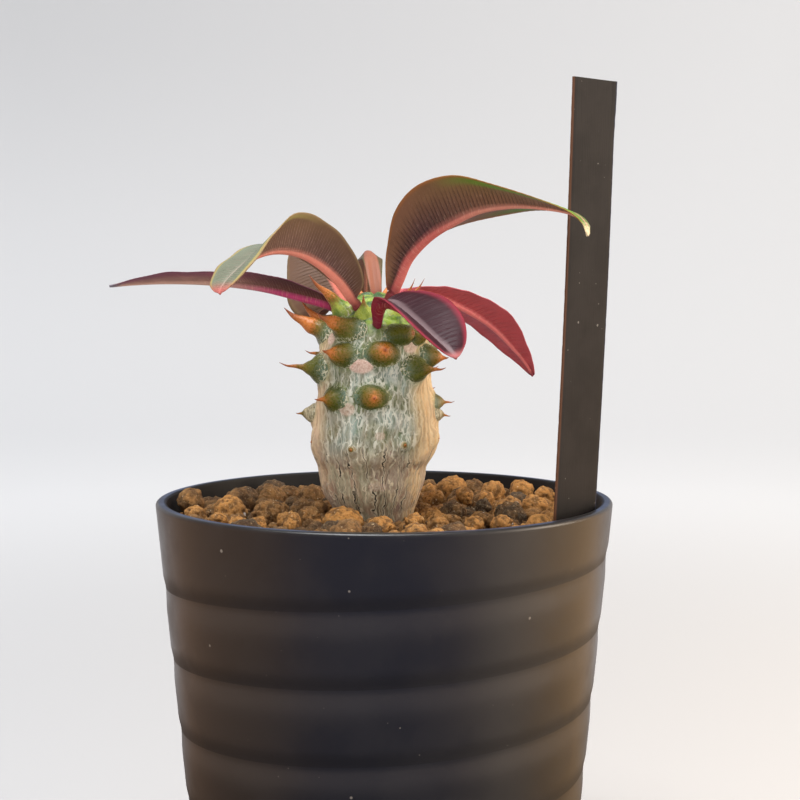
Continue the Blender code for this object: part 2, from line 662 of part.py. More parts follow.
def seat_on_stem(spot):
    """The place on the trunk nearest to a leaf's first point, and the way out of it."""
    best = None
    for step in range(130):
        height = 20.0 + 0.1 * step
        turn = math.atan2(spot.x - stem_at(height)[1], -spot.y)
        point, outward = stem_surface(turn, height)
        distance = (point - spot).length
        if best is None or distance < best[0]:
            best = distance, point, outward
    return best[1:]


def leaf_grid(rows, stations):
    """Middle surface of a leaf: one list of points across for each station."""
    seat, outward = seat_on_stem(Vector(rows[0][0]))
    stalk = rows[0][1:]
    rows = [(seat + outward * CLEARANCE, *stalk),
            (seat + outward * (CLEARANCE + STALK_LENGTH), *stalk), *rows[1:]]
    table = [(*spot, *left, *right) for spot, left, right in rows]
    heading = Vector(rows[-1][0]) - Vector(rows[0][0])
    aside = Vector((heading.y, -heading.x, 0.0)).normalized()
    grid = []
    for station in range(stations):
        share = station / (stations - 1)
        x, y, z, left, left_lift, right, right_lift = through(table, share)
        ahead = Vector(through(table, min(share + 0.02, 1.0))[:3])
        behind = Vector(through(table, max(share - 0.02, 0.0))[:3])
        along = (ahead - behind).normalized()
        side = (aside - along * aside.dot(along)).normalized()
        up = side.cross(along)
        line = []
        for place in LEAF_COLUMNS:
            width, lift = (left, left_lift) if place < 0 else (right, right_lift)
            tilt = math.radians(lift)
            sign = -1.0 if place < 0 else 1.0
            reach = abs(place) * max(width, 0.35)
            bow = LEAF_CAMBER * width * 4.0 * abs(place) * (1.0 - abs(place))
            line.append(Vector((x, y, z)) + side * sign * reach * math.cos(tilt)
                        + up * (reach * math.sin(tilt) + bow))
        grid.append(line)
    return grid


def build_leaf(name, rows):
    """A thin blade with the midrib standing out below it."""
    grid = leaf_grid(rows, LEAF_STATIONS)
    across = len(LEAF_COLUMNS)
    upper, lower = [], []
    for station, line in enumerate(grid):
        ahead = grid[min(station + 1, LEAF_STATIONS - 1)]
        behind = grid[max(station - 1, 0)]
        share = station / (LEAF_STATIONS - 1)
        rib = MIDRIB_DEPTH * (1.0 - 0.75 * share)
        for column, spot in enumerate(line):
            right = line[min(column + 1, across - 1)] - line[max(column - 1, 0)]
            along = ahead[column] - behind[column]
            normal = right.cross(along).normalized()
            depth = rib if LEAF_COLUMNS[column] == 0.0 else 0.0
            upper.append(above_rim(*(spot + normal * 0.5 * BLADE_THICKNESS)))
            lower.append(above_rim(*(spot - normal * (0.5 * BLADE_THICKNESS + depth))))
    points = upper + lower
    below = len(upper)
    faces = []
    for station in range(LEAF_STATIONS - 1):
        for column in range(across - 1):
            a = station * across + column
            b, c, d = a + 1, a + across, a + across + 1
            for triangle in ((a, b, d), (a, d, c)):
                faces.append(triangle)
                faces.append(tuple(below + index for index in reversed(triangle)))
    edge = list(range(across))
    edge += [station * across + across - 1 for station in range(1, LEAF_STATIONS)]
    edge += [(LEAF_STATIONS - 1) * across + column for column in range(across - 2, -1, -1)]
    edge += [station * across for station in range(LEAF_STATIONS - 2, 0, -1)]
    for first, second in zip(edge, edge[1:] + edge[:1]):
        faces.append((first, second, below + second, below + first))
    return make_solid(name, points, faces, sharp_angle=60.0)


# Label

def label_sections(extra=0.0):
    """Cross sections of the label, with extra room all round for its slot."""
    strip = LABEL_RIGHT_FOOT - LABEL_LEFT_FOOT
    full = strip.length
    along = strip.normalized()
    out = Vector((along.y, -along.x))
    middle = 0.5 * (LABEL_LEFT_FOOT + LABEL_RIGHT_FOOT)
    top = LABEL_TOP if extra == 0.0 else SLOT_TOP
    sections = []
    for height, width in ((-LABEL_DEPTH - extra, LABEL_TIP_WIDTH), (-1.0, full), (top, full)):
        centre = middle + LABEL_LEAN * height
        half_width = 0.5 * width + extra
        half_thickness = 0.5 * LABEL_THICKNESS + extra
        corners = ((-1, -1), (1, -1), (1, 1), (-1, 1))
        sections.append([above_rim(*(centre + along * a * half_width + out * b * half_thickness),
                                   height) for a, b in corners])
    return sections


def build_label():
    return make_solid("label", *loft(label_sections()))


def clear_scene():
    for item in list(bpy.data.objects):
        bpy.data.objects.remove(item)


def main():
    clear_scene()
    pieces = [build_pot(), build_soil(), build_stem(), build_label()]
    pieces += [build_leaf(name, rows) for name, rows in LEAVES.items()]
    for piece in pieces:
        piece.data.materials.clear()
        piece.data.materials.append(finish_of(piece.name))


main()
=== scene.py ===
"""The finish of a young pachypodium in a small black nursery pot, with a blank plant label.

Everything is laid out in millimetres: x and y from the pot's axis, with the viewer at -Y,
and height from the top of the pot's rim. Each piece is made in place around the frame.
"""

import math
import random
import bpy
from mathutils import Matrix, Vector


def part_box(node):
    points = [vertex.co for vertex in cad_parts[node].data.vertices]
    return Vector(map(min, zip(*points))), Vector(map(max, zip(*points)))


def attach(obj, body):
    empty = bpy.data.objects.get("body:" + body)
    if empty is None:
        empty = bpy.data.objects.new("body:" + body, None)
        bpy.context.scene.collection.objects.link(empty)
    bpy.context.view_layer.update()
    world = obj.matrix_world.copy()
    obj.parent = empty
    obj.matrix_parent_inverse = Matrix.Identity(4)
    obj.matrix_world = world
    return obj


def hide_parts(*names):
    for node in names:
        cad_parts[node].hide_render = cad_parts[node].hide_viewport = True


bl_info = {
    "name": "Potted Pachypodium",
    "version": (1, 0, 0),
    "blender": (4, 5, 0),
    "location": "3D View > Sidebar > Pachypodium",
    "description": "Builds a young pachypodium in a nursery pot, with its label and stage",
    "category": "Add Mesh",
}

import bmesh
import bpy
import numpy as np
from bpy.props import FloatProperty, FloatVectorProperty, IntProperty, PointerProperty
from mathutils import Vector, noise

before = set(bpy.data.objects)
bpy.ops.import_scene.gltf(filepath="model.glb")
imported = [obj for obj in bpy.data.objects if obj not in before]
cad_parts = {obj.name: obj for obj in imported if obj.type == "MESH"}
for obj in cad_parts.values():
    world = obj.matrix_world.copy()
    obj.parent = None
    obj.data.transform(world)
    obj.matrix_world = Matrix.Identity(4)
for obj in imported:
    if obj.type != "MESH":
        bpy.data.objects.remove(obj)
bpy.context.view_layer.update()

MM = 0.001
TURN = math.tau
RIM_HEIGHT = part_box("pot")[1].z / MM
RIM_RADIUS = 37.48
CLEARANCE = 0.35

# Pot
WALL_TAPER = 0.095
WALL_THICKNESS = 1.9
FLOOR_THICKNESS = 1.6
FOOT_LIFT = 1.4
FOOT_RING_RADIUS = 27.0
CENTRE_PAD_RADIUS = 14.0
DRAIN_HOLES = 6
DRAIN_HOLE_RADIUS = 3.0
GROOVE_FRONT_HEIGHT = -11.3
GROOVE_RUN = 0.34
GROOVE_LIP = 0.20
GROOVED_TOP = -0.7
GROOVED_BOTTOM = 1.0 - RIM_HEIGHT
POT_COLUMNS = 240
GROOVE_ROWS = 26
GROOVE_TURNS = 9

# Potting mix
BED_LEVEL = -3.6
GRANULE_SEED = 11
GRANULE_RADII = (1.4, 3.1)
GRANULE_TRIES = 1500
FINE_GRANULES = 34
CRUMBS = 900
BED_COLUMNS = 160
BED_RINGS = 60
# The granules that show: x, y, diameter, height of the top and tone, from 0 for dark
# grey-brown to 1 for orange.
NAMED_GRANULES = (
    (-32.4, 3.4, 4.6, 0.9, 0.55), (-30.9, -2.8, 3.9, -0.9, 0.85), (-24.8, 6.4, 5.2, 0.6, 0.3),
    (-26.2, -11.1, 3.6, -1.0, 0.95), (-22.6, -14.4, 3.2, -1.1, 0.9),
    (-19.6, -15.8, 3.0, -1.0, 1.0), (-21.1, 18.0, 3.6, -0.3, 0.3),
    (-17.2, 19.0, 4.2, -0.4, 0.4), (-12.8, 15.6, 5.6, 0.0, 0.45), (-18.4, -5.6, 5.4, 0.2, 0.55),
    (-14.9, -13.2, 4.8, -0.4, 0.75), (-12.0, -7.4, 3.6, -0.7, 0.6),
    (-10.6, -1.8, 2.8, -0.4, 0.5), (-6.3, -12.8, 6.4, 0.2, 1.0), (-0.3, -16.6, 4.6, -0.6, 1.0),
    (4.8, -15.8, 3.4, -0.5, 0.95), (8.4, -17.0, 3.4, -0.9, 0.7), (10.9, -13.6, 2.8, -0.9, 0.6),
    (11.3, -4.7, 4.4, 0.1, 0.2), (14.0, -17.0, 3.2, -0.8, 0.9), (15.9, -12.2, 3.4, -0.8, 0.5),
    (18.6, -15.9, 3.8, -0.5, 0.95), (16.1, -2.4, 3.0, 0.0, 0.02), (20.4, -5.4, 5.8, 0.0, 0.12),
    (13.6, 8.2, 3.0, 0.5, 0.9), (17.0, 5.2, 3.0, 0.3, 0.95), (8.6, 9.6, 4.4, 0.0, 0.85),
    (12.0, 24.0, 5.2, 0.4, 0.9), (19.2, 18.0, 4.6, 0.2, 0.95), (24.5, 21.4, 4.8, 0.2, 1.0),
    (25.4, 4.4, 4.8, -0.3, 0.85), (28.2, 15.6, 3.6, -0.2, 0.9),
)

# Stem: height, trunk radius and x of the axis.
STEM_PROFILE = (
    (-20.0, 0.9, -1.8), (-14.0, 3.0, -1.8), (-8.0, 5.2, -1.8), (-3.6, 6.3, -1.8),
    (-1.5, 6.9, -1.9), (0.5, 7.8, -2.1), (2.8, 8.5, -2.0), (5.2, 8.9, -2.0),
    (6.8, 9.7, -1.8), (8.4, 10.1, -1.6), (10.4, 10.2, -1.5), (12.6, 10.0, -1.5),
    (15.2, 9.6, -1.5), (18.0, 9.2, -1.5), (20.5, 8.9, -1.5), (23.0, 8.7, -1.5),
    (25.4, 8.2, -1.5), (27.6, 7.3, -1.5), (29.4, 6.1, -1.5), (31.0, 4.7, -1.5),
    (32.2, 3.1, -1.5), (32.9, 1.5, -1.5),
)
STEM_TOP = 33.2
GOLDEN_TURN = -137.0
FRONT_SCAR_ANGLE = -13.0
FRONT_SCAR_HEIGHT = 22.6
PLACE_SPACING = 0.92
YOUNG_SPACING = 0.76
FIRST_PLACE = -12
LAST_GREEN_PLACE = 12
LAST_PLACE = 25
CUSHION_SPREAD = 3.4
CUSHION_RISE = 1.3
HIDDEN_FROM = 96.0
LEAF_ROOM = 1.3
# Cushions on the viewer's side: angle, height, width, tall, heading, lift, reach, spine
# length, spine lift, how far the rust of the tip spreads, and width of the horn that
# carries the spine, as a share of the cushion's.
FRONT_CUSHIONS = (
    (-31, 23.7, 5.9, 4.3, -60, 10, 3.0, 1.5, 14, 0.85, 0.22),
    (7, 24.0, 6.2, 4.5, 20, 20, 2.1, 0.4, 16, 0.72, 0.22),
    (-39, 16.8, 5.2, 4.4, -62, 0, 2.4, 1.7, 0, 0.55, 0.18),
    (-3, 17.2, 5.6, 4.4, 16, 0, 1.8, 0.4, 0, 0.60, 0.20),
    (-72, 21.3, 6.0, 5.4, -84, 6, 3.2, 4.0, 8, 0.20, 0.17),
    (-84, 27.2, 5.8, 5.6, -92, 20, 3.0, 5.4, 30, 0.85, 0.46),
    (-31, 27.6, 6.2, 4.6, -60, 24, 3.6, 3.0, 24, 0.80, 0.34),
    (-62, 30.2, 4.4, 4.2, -75, 50, 3.4, 5.2, 42, 0.50, 0.40),
    (-100, 28.3, 4.6, 4.0, -96, 20, 3.2, 3.8, 48, 0.90, 0.36),
    (-15, 29.8, 3.8, 3.4, -15, 66, 2.1, 1.7, 80, 0.0, 0.26),
    (37, 30.2, 3.8, 3.4, 45, 50, 1.5, 0.6, 50, 0.0, 0.20),
    (26, 26.8, 5.6, 4.0, 66, 10, 3.0, 0.4, 8, 0.05, 0.30),
    (50, 26.8, 4.4, 4.2, 74, 8, 3.0, 1.4, 6, 0.75, 0.26),
    (44, 21.5, 5.4, 4.8, 68, 0, 3.0, 2.7, 4, 0.35, 0.17),
    (67, 23.4, 4.6, 4.4, 80, -4, 2.9, 1.2, 0, 0.80, 0.22),
    (82, 15.8, 3.6, 3.2, 88, 0, 1.9, 1.7, 2, 0.60, 0.15),
    (80, 13.9, 3.2, 2.8, 86, -6, 1.6, 1.2, -10, 0.50, 0.15),
    (-87, 13.9, 3.8, 3.4, -88, 0, 2.2, 1.1, 0, 0.10, 0.15),
    (-20, 8.9, 2.2, 1.7, -20, 0, 0.6, 0.35, 0, 0.25, 0.24),
    (27, 9.6, 2.2, 1.7, 30, 0, 0.6, 0.3, 0, 0.25, 0.24),
    (72, 10.0, 2.6, 2.4, 78, 5, 0.6, 0.3, 0, 0.2, 0.20),
    (-74, 9.4, 3.6, 3.2, -78, 0, 0.5, 0.3, 0, 0.2, 0.20),
    (76, 31.2, 2.6, 2.6, 74, 70, 1.8, 3.4, 60, 0.90, 0.30),
    (98, 31.0, 2.6, 2.6, 84, 58, 2.4, 3.6, 52, 0.90, 0.28),
    (66, 28.2, 3.8, 3.6, 82, 18, 3.0, 4.5, 30, 0.85, 0.30),
)
# Leaf scars: angle, height, width, tall, and how pale and raised.
FRONT_SCARS = (
    (-13, 22.0, 4.0, 2.3, 1.0), (-26, 15.2, 2.6, 2.2, 0.55), (-56, 26.2, 2.4, 2.0, 0.8),
    (41, 24.9, 2.8, 1.9, 0.7), (5, 11.1, 1.8, 1.4, 0.35), (6, 2.7, 3.2, 1.6, 0.35),
)

# Label
LABEL_FEET = Vector((26.4, -17.0)), Vector((33.7, -9.0))
LABEL_HEADS = Vector((28.6, -18.0)), Vector((35.8, -12.0))
LABEL_TOP = 66.2
LABEL_DEPTH = 27.0
LABEL_THICKNESS = 0.55
LABEL_TIP_WIDTH = 2.0

# Leaves
STALK_LENGTH = 1.2
LEAF_CAMBER = 0.07
SOFT_FOLD = 0.5
# Each row of a leaf: point on the midrib, then width and lift in degrees of the half to the
# left and to the right as one looks from the stem towards the tip.
LEAVES = {
    "leaf_right_arching": (
        ((0.5, -2.1, 32.5), (0.8, 0), (0.8, 0)),
        ((1.5, -2.8, 34.0), (0.8, 0), (1.4, 10)),
        ((2.4, -3.5, 35.9), (0.8, 0), (2.6, 20)),
        ((4.0, -4.5, 39.3), (1.0, 10), (4.2, 32)),
        ((7.0, -6.5, 42.4), (3.0, 10), (7.2, 40)),
        ((10.4, -9.0, 44.5), (6.0, 5), (8.6, 45)),
        ((14.7, -12.0, 46.4), (7.5, -2), (8.0, 41)),
        ((19.3, -15.6, 47.0), (6.5, -4), (6.2, 30)),
        ((23.7, -19.5, 46.6), (4.6, -6), (4.2, 22)),
        ((27.9, -22.5, 45.6), (2.2, -10), (2.2, 12)),
        ((29.8, -24.0, 44.0), (1.1, 0), (1.1, 5)),
        ((30.2, -24.8, 42.1), (0.4, 0), (0.4, 0)),
    ),
    "leaf_left_arching": (
        ((-4.4, -4.2, 32.0), (0.8, 0), (0.8, 0)),
        ((-5.0, -5.2, 32.8), (0.8, 0), (0.8, 0)),
        ((-5.9, -6.2, 34.0), (3.0, 25), (1.4, 10)),
        ((-7.4, -8.0, 35.9), (4.4, 34), (2.6, 10)),
        ((-10.0, -10.5, 38.2), (5.8, 40), (4.4, 12)),
        ((-12.9, -13.5, 39.7), (6.8, 46), (5.8, 12)),
        ((-16.0, -17.0, 40.1), (7.4, 50), (6.2, 8)),
        ((-18.7, -20.5, 39.3), (6.0, 38), (5.2, 2)),
        ((-21.1, -24.0, 37.4), (4.2, 20), (4.8, 0)),
        ((-22.9, -26.5, 35.3), (2.4, 5), (3.2, -3)),
        ((-23.7, -28.0, 33.6), (0.4, 0), (0.4, 0)),
    ),
    "leaf_left_long": (
        ((-8.0, 0.7, 31.4), (0.8, 0), (0.8, 0)),
        ((-9.6, 1.0, 32.0), (2.2, 28), (1.4, 10)),
        ((-13.9, 1.5, 33.1), (3.7, 33), (3.2, 6)),
        ((-20.7, 2.0, 34.6), (5.0, 27), (5.0, 2)),
        ((-28.9, 3.0, 35.4), (5.3, 18), (5.5, 5)),
        ((-36.0, 3.7, 35.5), (4.4, 18), (4.5, 5)),
        ((-42.0, 4.5, 35.2), (2.5, 10), (2.5, 0)),
        ((-46.0, 5.0, 34.8), (0.4, 0), (0.4, 0)),
    ),
    "leaf_back_left": (
        ((-6.2, 4.6, 30.6), (0.8, 0), (0.8, 0)),
        ((-6.9, 6.0, 32.6), (6.4, -62), (1.4, 10)),
        ((-8.0, 8.5, 34.5), (8.4, -46), (2.8, 10)),
        ((-9.5, 11.5, 36.8), (8.4, -38), (4.6, 10)),
        ((-11.5, 14.5, 39.3), (6.2, -30), (4.8, 6)),
        ((-13.4, 17.5, 41.6), (3.9, -26), (3.4, 4)),
        ((-14.6, 19.8, 43.0), (0.4, 0), (0.4, 0)),
    ),
    "leaf_back_middle": (
        ((-1.3, 5.6, 32.2), (0.8, 0), (0.8, 0)),
        ((-1.7, 7.0, 35.0), (1.0, 10), (1.2, 10)),
        ((-2.3, 10.5, 38.8), (1.3, 0), (1.9, 0)),
        ((-2.8, 14.5, 40.6), (1.6, -40), (2.3, -34)),
        ((-3.3, 20.0, 40.8), (1.9, -48), (2.5, -42)),
        ((-3.6, 27.0, 38.8), (2.0, 0), (2.7, 0)),
        ((-3.8, 33.0, 35.0), (1.6, 0), (1.8, 0)),
        ((-3.9, 37.0, 31.0), (0.4, 0), (0.4, 0)),
    ),
    "leaf_right_back": (
        ((1.4, 4.0, 32.9), (0.8, 0), (0.8, 0)),
        ((3.4, 6.5, 34.1), (1.6, 0), (1.4, 10)),
        ((7.7, 11.0, 33.5), (3.5, 0), (3.2, 22)),
        ((13.0, 16.0, 31.3), (4.8, 0), (4.6, 24)),
        ((18.6, 21.0, 27.9), (5.2, 0), (4.8, 22)),
        ((23.5, 26.0, 23.2), (3.8, 0), (2.8, 14)),
        ((26.0, 28.2, 20.2), (2.0, 0), (1.4, 5)),
        ((27.0, 29.0, 18.3), (0.4, 0), (0.4, 0)),
    ),
    "leaf_front": (
        ((-1.0, -8.4, 29.6), (0.8, 0), (0.8, 0)),
        ((-0.7, -9.4, 31.3), (2.4, 25), (1.4, 10)),
        ((0.6, -11.0, 32.0), (3.6, 30), (2.8, 20)),
        ((2.6, -14.0, 31.2), (5.2, 32), (4.0, 25)),
        ((4.9, -17.3, 29.5), (6.2, 33), (4.5, 25)),
        ((7.4, -20.8, 27.3), (5.7, 30), (4.2, 22)),
        ((9.5, -23.4, 25.4), (3.6, 22), (2.5, 15)),
        ((10.9, -25.0, 24.1), (0.4, 0), (0.4, 0)),
    ),
}


def paint(red, green, blue):
    """A linear colour from the 0 to 255 values of a paint chip."""
    return tuple((value / 255 / 12.92 if value <= 10 else ((value / 255 + 0.055) / 1.055) ** 2.4)
                 for value in (red, green, blue))


# What each leaf wears. Below: blade by the midrib, blade by the margin and midrib, near the
# stem and, where they differ, far from it. Above: blade and midrib. Then the margin, the tip,
# the veins, their spacing, the half width of the pale strip above, the colour that shows
# where the blade folds over, and where fold and margin start.
LEAF_COLOURS = {
    "leaf_right_arching": {
        "under": (paint(84, 56, 58), paint(124, 86, 64), paint(200, 100, 92)),
        "under_far": (paint(124, 86, 66), paint(126, 96, 62), paint(200, 128, 108)),
        "over": (paint(96, 118, 56), paint(176, 136, 108)), "margin": paint(150, 92, 46),
        "fold": paint(100, 134, 44), "tip": paint(222, 200, 160), "vein": paint(52, 32, 38),
        "spacing": 0.66},
    "leaf_left_arching": {
        "under": (paint(104, 74, 68), paint(112, 82, 64), paint(226, 134, 114)),
        "under_far": (paint(122, 90, 76), paint(124, 94, 70), paint(204, 122, 104)),
        "over": (paint(112, 118, 98), paint(136, 128, 112)), "margin": paint(146, 118, 84),
        "fold": paint(158, 142, 84), "fold_from": 0.78,
        "tip": paint(176, 96, 88), "vein": paint(206, 170, 156), "spacing": 0.46},
    "leaf_left_long": {
        "under": (paint(104, 66, 58), paint(84, 50, 50), paint(182, 54, 104)),
        "under_far": (paint(178, 132, 118), paint(138, 62, 82), paint(186, 146, 128)),
        "over": (paint(124, 92, 72), paint(176, 90, 96)), "margin": paint(96, 44, 64),
        "tip": paint(120, 112, 122), "vein": paint(150, 116, 96), "spacing": 0.5},
    "leaf_back_left": {
        "under": (paint(126, 84, 68), paint(116, 82, 66), paint(196, 116, 98)),
        "over": (paint(94, 66, 48), paint(186, 98, 80)), "margin": paint(112, 90, 62),
        "tip": paint(120, 96, 70), "vein": paint(92, 72, 52), "spacing": 0.8, "strip": 1.15},
    "leaf_back_middle": {
        "under": (paint(150, 104, 76), paint(150, 104, 76), paint(176, 112, 86)),
        "over": (paint(92, 76, 50), paint(144, 88, 66)), "margin": paint(78, 78, 44),
        "tip": paint(120, 96, 66), "vein": paint(88, 66, 46), "spacing": 0.8, "strip": 1.5},
    "leaf_right_back": {
        "under": (paint(196, 82, 88), paint(196, 82, 88), paint(226, 116, 114)),
        "over": (paint(148, 52, 62), paint(190, 90, 92)), "margin": paint(180, 76, 86),
        "tip": paint(140, 56, 68), "vein": paint(184, 70, 80), "spacing": 1.1, "strip": 0.9},
    "leaf_front": {
        "under": (paint(132, 40, 58), paint(150, 52, 66), paint(124, 26, 38)),
        "under_far": (paint(132, 40, 58), paint(150, 52, 66), paint(150, 50, 62)),
        "over": (paint(56, 30, 36), paint(116, 96, 98)), "margin": paint(142, 48, 62),
        "tip": paint(160, 96, 96), "vein": paint(84, 56, 62), "spacing": 0.95, "strip": 1.4,
        "rim_from": 0.74},
}


# Settings

class PotSettings(bpy.types.PropertyGroup):
    groove_pitch: FloatProperty(
        name="Groove pitch", description="Height that the spiral groove climbs in one turn",
        default=0.0117, unit="LENGTH")
    groove_depth: FloatProperty(
        name="Groove depth", description="How far the groove goes into the wall",
        default=0.00022, unit="LENGTH")
    plastic: FloatVectorProperty(
        name="Plastic", description="Colour of the moulded pot", subtype="COLOR", size=3,
        default=paint(28, 27, 28), min=0, max=1)


class MixSettings(bpy.types.PropertyGroup):
    lump_height: FloatProperty(
        name="Lump height", description="Height of the large lumps of a granule",
        default=0.00062, unit="LENGTH")
    knob_height: FloatProperty(
        name="Knob height", description="Height of the small knobs on a granule",
        default=0.00066, unit="LENGTH")
    pit_depth: FloatProperty(
        name="Pit depth", description="Depth of the pores of a granule",
        default=0.00026, unit="LENGTH")
    orange: FloatVectorProperty(
        name="Orange clay", description="Colour of the brightest granules", subtype="COLOR",
        size=3, default=paint(204, 144, 76), min=0, max=1)
    brown: FloatVectorProperty(
        name="Brown clay", description="Colour of the middling granules", subtype="COLOR",
        size=3, default=paint(154, 112, 66), min=0, max=1)
    dark: FloatVectorProperty(
        name="Dark clay", description="Colour of the darkest granules", subtype="COLOR",
        size=3, default=paint(84, 70, 54), min=0, max=1)


class StemSettings(bpy.types.PropertyGroup):
    crack_depth: FloatProperty(
        name="Crack depth", description="Depth of the cracks in the bark",
        default=0.00017, unit="LENGTH")
    columns: IntProperty(
        name="Columns", description="Points round the trunk", default=430, min=64, max=440)
    bark: FloatVectorProperty(
        name="Bark", description="Colour of the corky ridges", subtype="COLOR", size=3,
        default=paint(224, 222, 206), min=0, max=1)
    cushion: FloatVectorProperty(
        name="Cushion", description="Green of the cushions under the spines",
        subtype="COLOR", size=3, default=paint(94, 96, 26), min=0, max=1)
    spine: FloatVectorProperty(
        name="Spine", description="Colour of the young spines", subtype="COLOR", size=3,
        default=paint(192, 112, 48), min=0, max=1)


class LeafSettings(bpy.types.PropertyGroup):
    thickness: FloatProperty(
        name="Thickness", description="Thickness of the blade beside the midrib",
        default=0.0003, unit="LENGTH")
    stations: IntProperty(
        name="Stations", description="Points along a leaf", default=120, min=24, max=240)


class LabelSettings(bpy.types.PropertyGroup):
    bow: FloatProperty(
        name="Bow", description="How far the label bows out at its middle",
        default=0.0003, unit="LENGTH")
    plastic: FloatVectorProperty(
        name="Plastic", description="Colour of the label", subtype="COLOR", size=3,
        default=paint(33, 30, 29), min=0, max=1)


class StageSettings(bpy.types.PropertyGroup):
    backdrop: FloatVectorProperty(
        name="Backdrop", description="Colour of the floor and the backdrop",
        subtype="COLOR", size=3, default=(0.497, 0.472, 0.452), min=0, max=1)
    glow: FloatProperty(
        name="Glow", description="Light that the backdrop gives of itself away from the pot",
        default=0.40, min=0, max=5)
    room: FloatProperty(
        name="Room", description="Brightness of the room that glossy surfaces mirror",
        default=1.0, min=0, max=5)
    key_power: FloatProperty(
        name="Key light", description="Power of the soft light above", default=3.4,
        unit="POWER")


class PachypodiumSettings(bpy.types.PropertyGroup):
    pot: PointerProperty(type=PotSettings)
    mix: PointerProperty(type=MixSettings)
    stem: PointerProperty(type=StemSettings)
    leaves: PointerProperty(type=LeafSettings)
    label: PointerProperty(type=LabelSettings)
    stage: PointerProperty(type=StageSettings)


# Meshes

def smooth_step(value, start, end):
    """0 before the start, 1 past the end, and a smooth rise between."""
    share = np.clip((np.asarray(value, float) - start) / (end - start), 0.0, 1.0)
    return share * share * (3.0 - 2.0 * share)


def through(rows, shares):
    """Smooth curve through equally weighted rows of numbers, for shares from 0 to 1."""
    rows = np.asarray(rows, float)
    spot = np.clip(np.atleast_1d(np.asarray(shares, float)), 0.0, 1.0) * (len(rows) - 1)
    index = np.minimum(spot.astype(int), len(rows) - 2)
    t = (spot - index)[:, None]
    before, start = rows[np.maximum(index - 1, 0)], rows[index]
    end, after = rows[index + 1], rows[np.minimum(index + 2, len(rows) - 1)]
    return 0.5 * (2 * start + (end - before) * t + (2 * before - 5 * start + 4 * end - after) * t ** 2
                  + (3 * start - before - 3 * end + after) * t ** 3)


def noise_over(points, stretch, seed):
    """Smooth seeded noise at each point. Stretch is the number of waves per millimetre."""
    places = np.asarray(points, float).reshape(-1, 3) * stretch + 13.7 * seed
    values = np.array([noise.noise(place) for place in places.tolist()])
    return values.reshape(np.asarray(points).shape[:-1])


def unit(vectors):
    """Vectors of length 1."""
    return vectors / np.maximum(np.linalg.norm(vectors, axis=-1, keepdims=True), 1e-12)


def grid_faces(rows, columns, wrap=False, start=0, flip=False):
    """Four-sided faces over a grid of points that is numbered row by row."""
    across = columns if wrap else columns - 1
    row, column = np.meshgrid(np.arange(rows - 1), np.arange(across), indexing="ij")
    beside = (column + 1) % columns
    corners = [row * columns + column, row * columns + beside, (row + 1) * columns + beside,
               (row + 1) * columns + column]
    if flip:
        corners.reverse()
    return (np.stack(corners, axis=-1).reshape(-1, 4) + start).tolist()


def cap(columns, row=0, start=0, flip=False):
    """One face over a whole row of a grid of points."""
    face = list(range(start + row * columns, start + (row + 1) * columns))
    return face[::-1] if flip else face


def store(mesh, attributes):
    """Keep numbers, or rows of three numbers, on the points of a mesh."""
    for key, values in attributes.items():
        values = np.asarray(values, np.float32)
        rows = values.shape[-1] == 3
        layer = mesh.attributes.new(key, "FLOAT_VECTOR" if rows else "FLOAT", "POINT")
        layer.data.foreach_set("vector" if rows else "value", values.ravel())


def face_outward(mesh, clean=False):
    """Turn all faces outward; a clean first drops the ones without area."""
    shape = bmesh.new()
    shape.from_mesh(mesh)
    if clean:
        bmesh.ops.dissolve_degenerate(shape, edges=shape.edges, dist=1e-6)
    bmesh.ops.recalc_face_normals(shape, faces=shape.faces)
    shape.to_mesh(mesh)
    shape.free()


def add_object(name, data):
    """An object in the scene."""
    made = bpy.data.objects.new(name, data)
    bpy.context.scene.collection.objects.link(made)
    return made


def make_piece(name, points, faces, material, attributes=None, recalculate=False):
    """A smooth-shaded object from points in millimetres, in a material slot of the part."""
    places = np.asarray(points, float).reshape(-1, 3) * MM
    places[:, 2] += RIM_HEIGHT * MM
    mesh = bpy.data.meshes.new(name)
    mesh.from_pydata(places.tolist(), [], faces)
    store(mesh, {key: np.ravel(values) for key, values in (attributes or {}).items()})
    if recalculate:
        face_outward(mesh)
    mesh.shade_smooth()
    mesh.materials.append(material)
    piece = add_object(name, mesh)
    return piece


def lathe(profile, columns, close_start=False, close_end=False):
    """Points in millimetres and faces of a turned skin; the profile is (radius, height)."""
    turn = TURN * np.arange(columns) / columns
    points = np.array([np.stack([radius * np.cos(turn), radius * np.sin(turn),
                                 np.full(columns, height)], axis=-1) for radius, height in profile])
    faces = grid_faces(len(profile), columns, wrap=True)
    if close_start:
        faces.append(cap(columns))
    if close_end:
        faces.append(cap(columns, len(profile) - 1))
    return points, faces


def fillet(centre, radius, start, end, steps):
    """Points of an arc in the (radius, height) plane; the angles are in degrees."""
    return [(centre[0] + radius * math.cos(math.radians(start + (end - start) * step / steps)),
             centre[1] + radius * math.sin(math.radians(start + (end - start) * step / steps)))
            for step in range(steps + 1)]


# Node trees

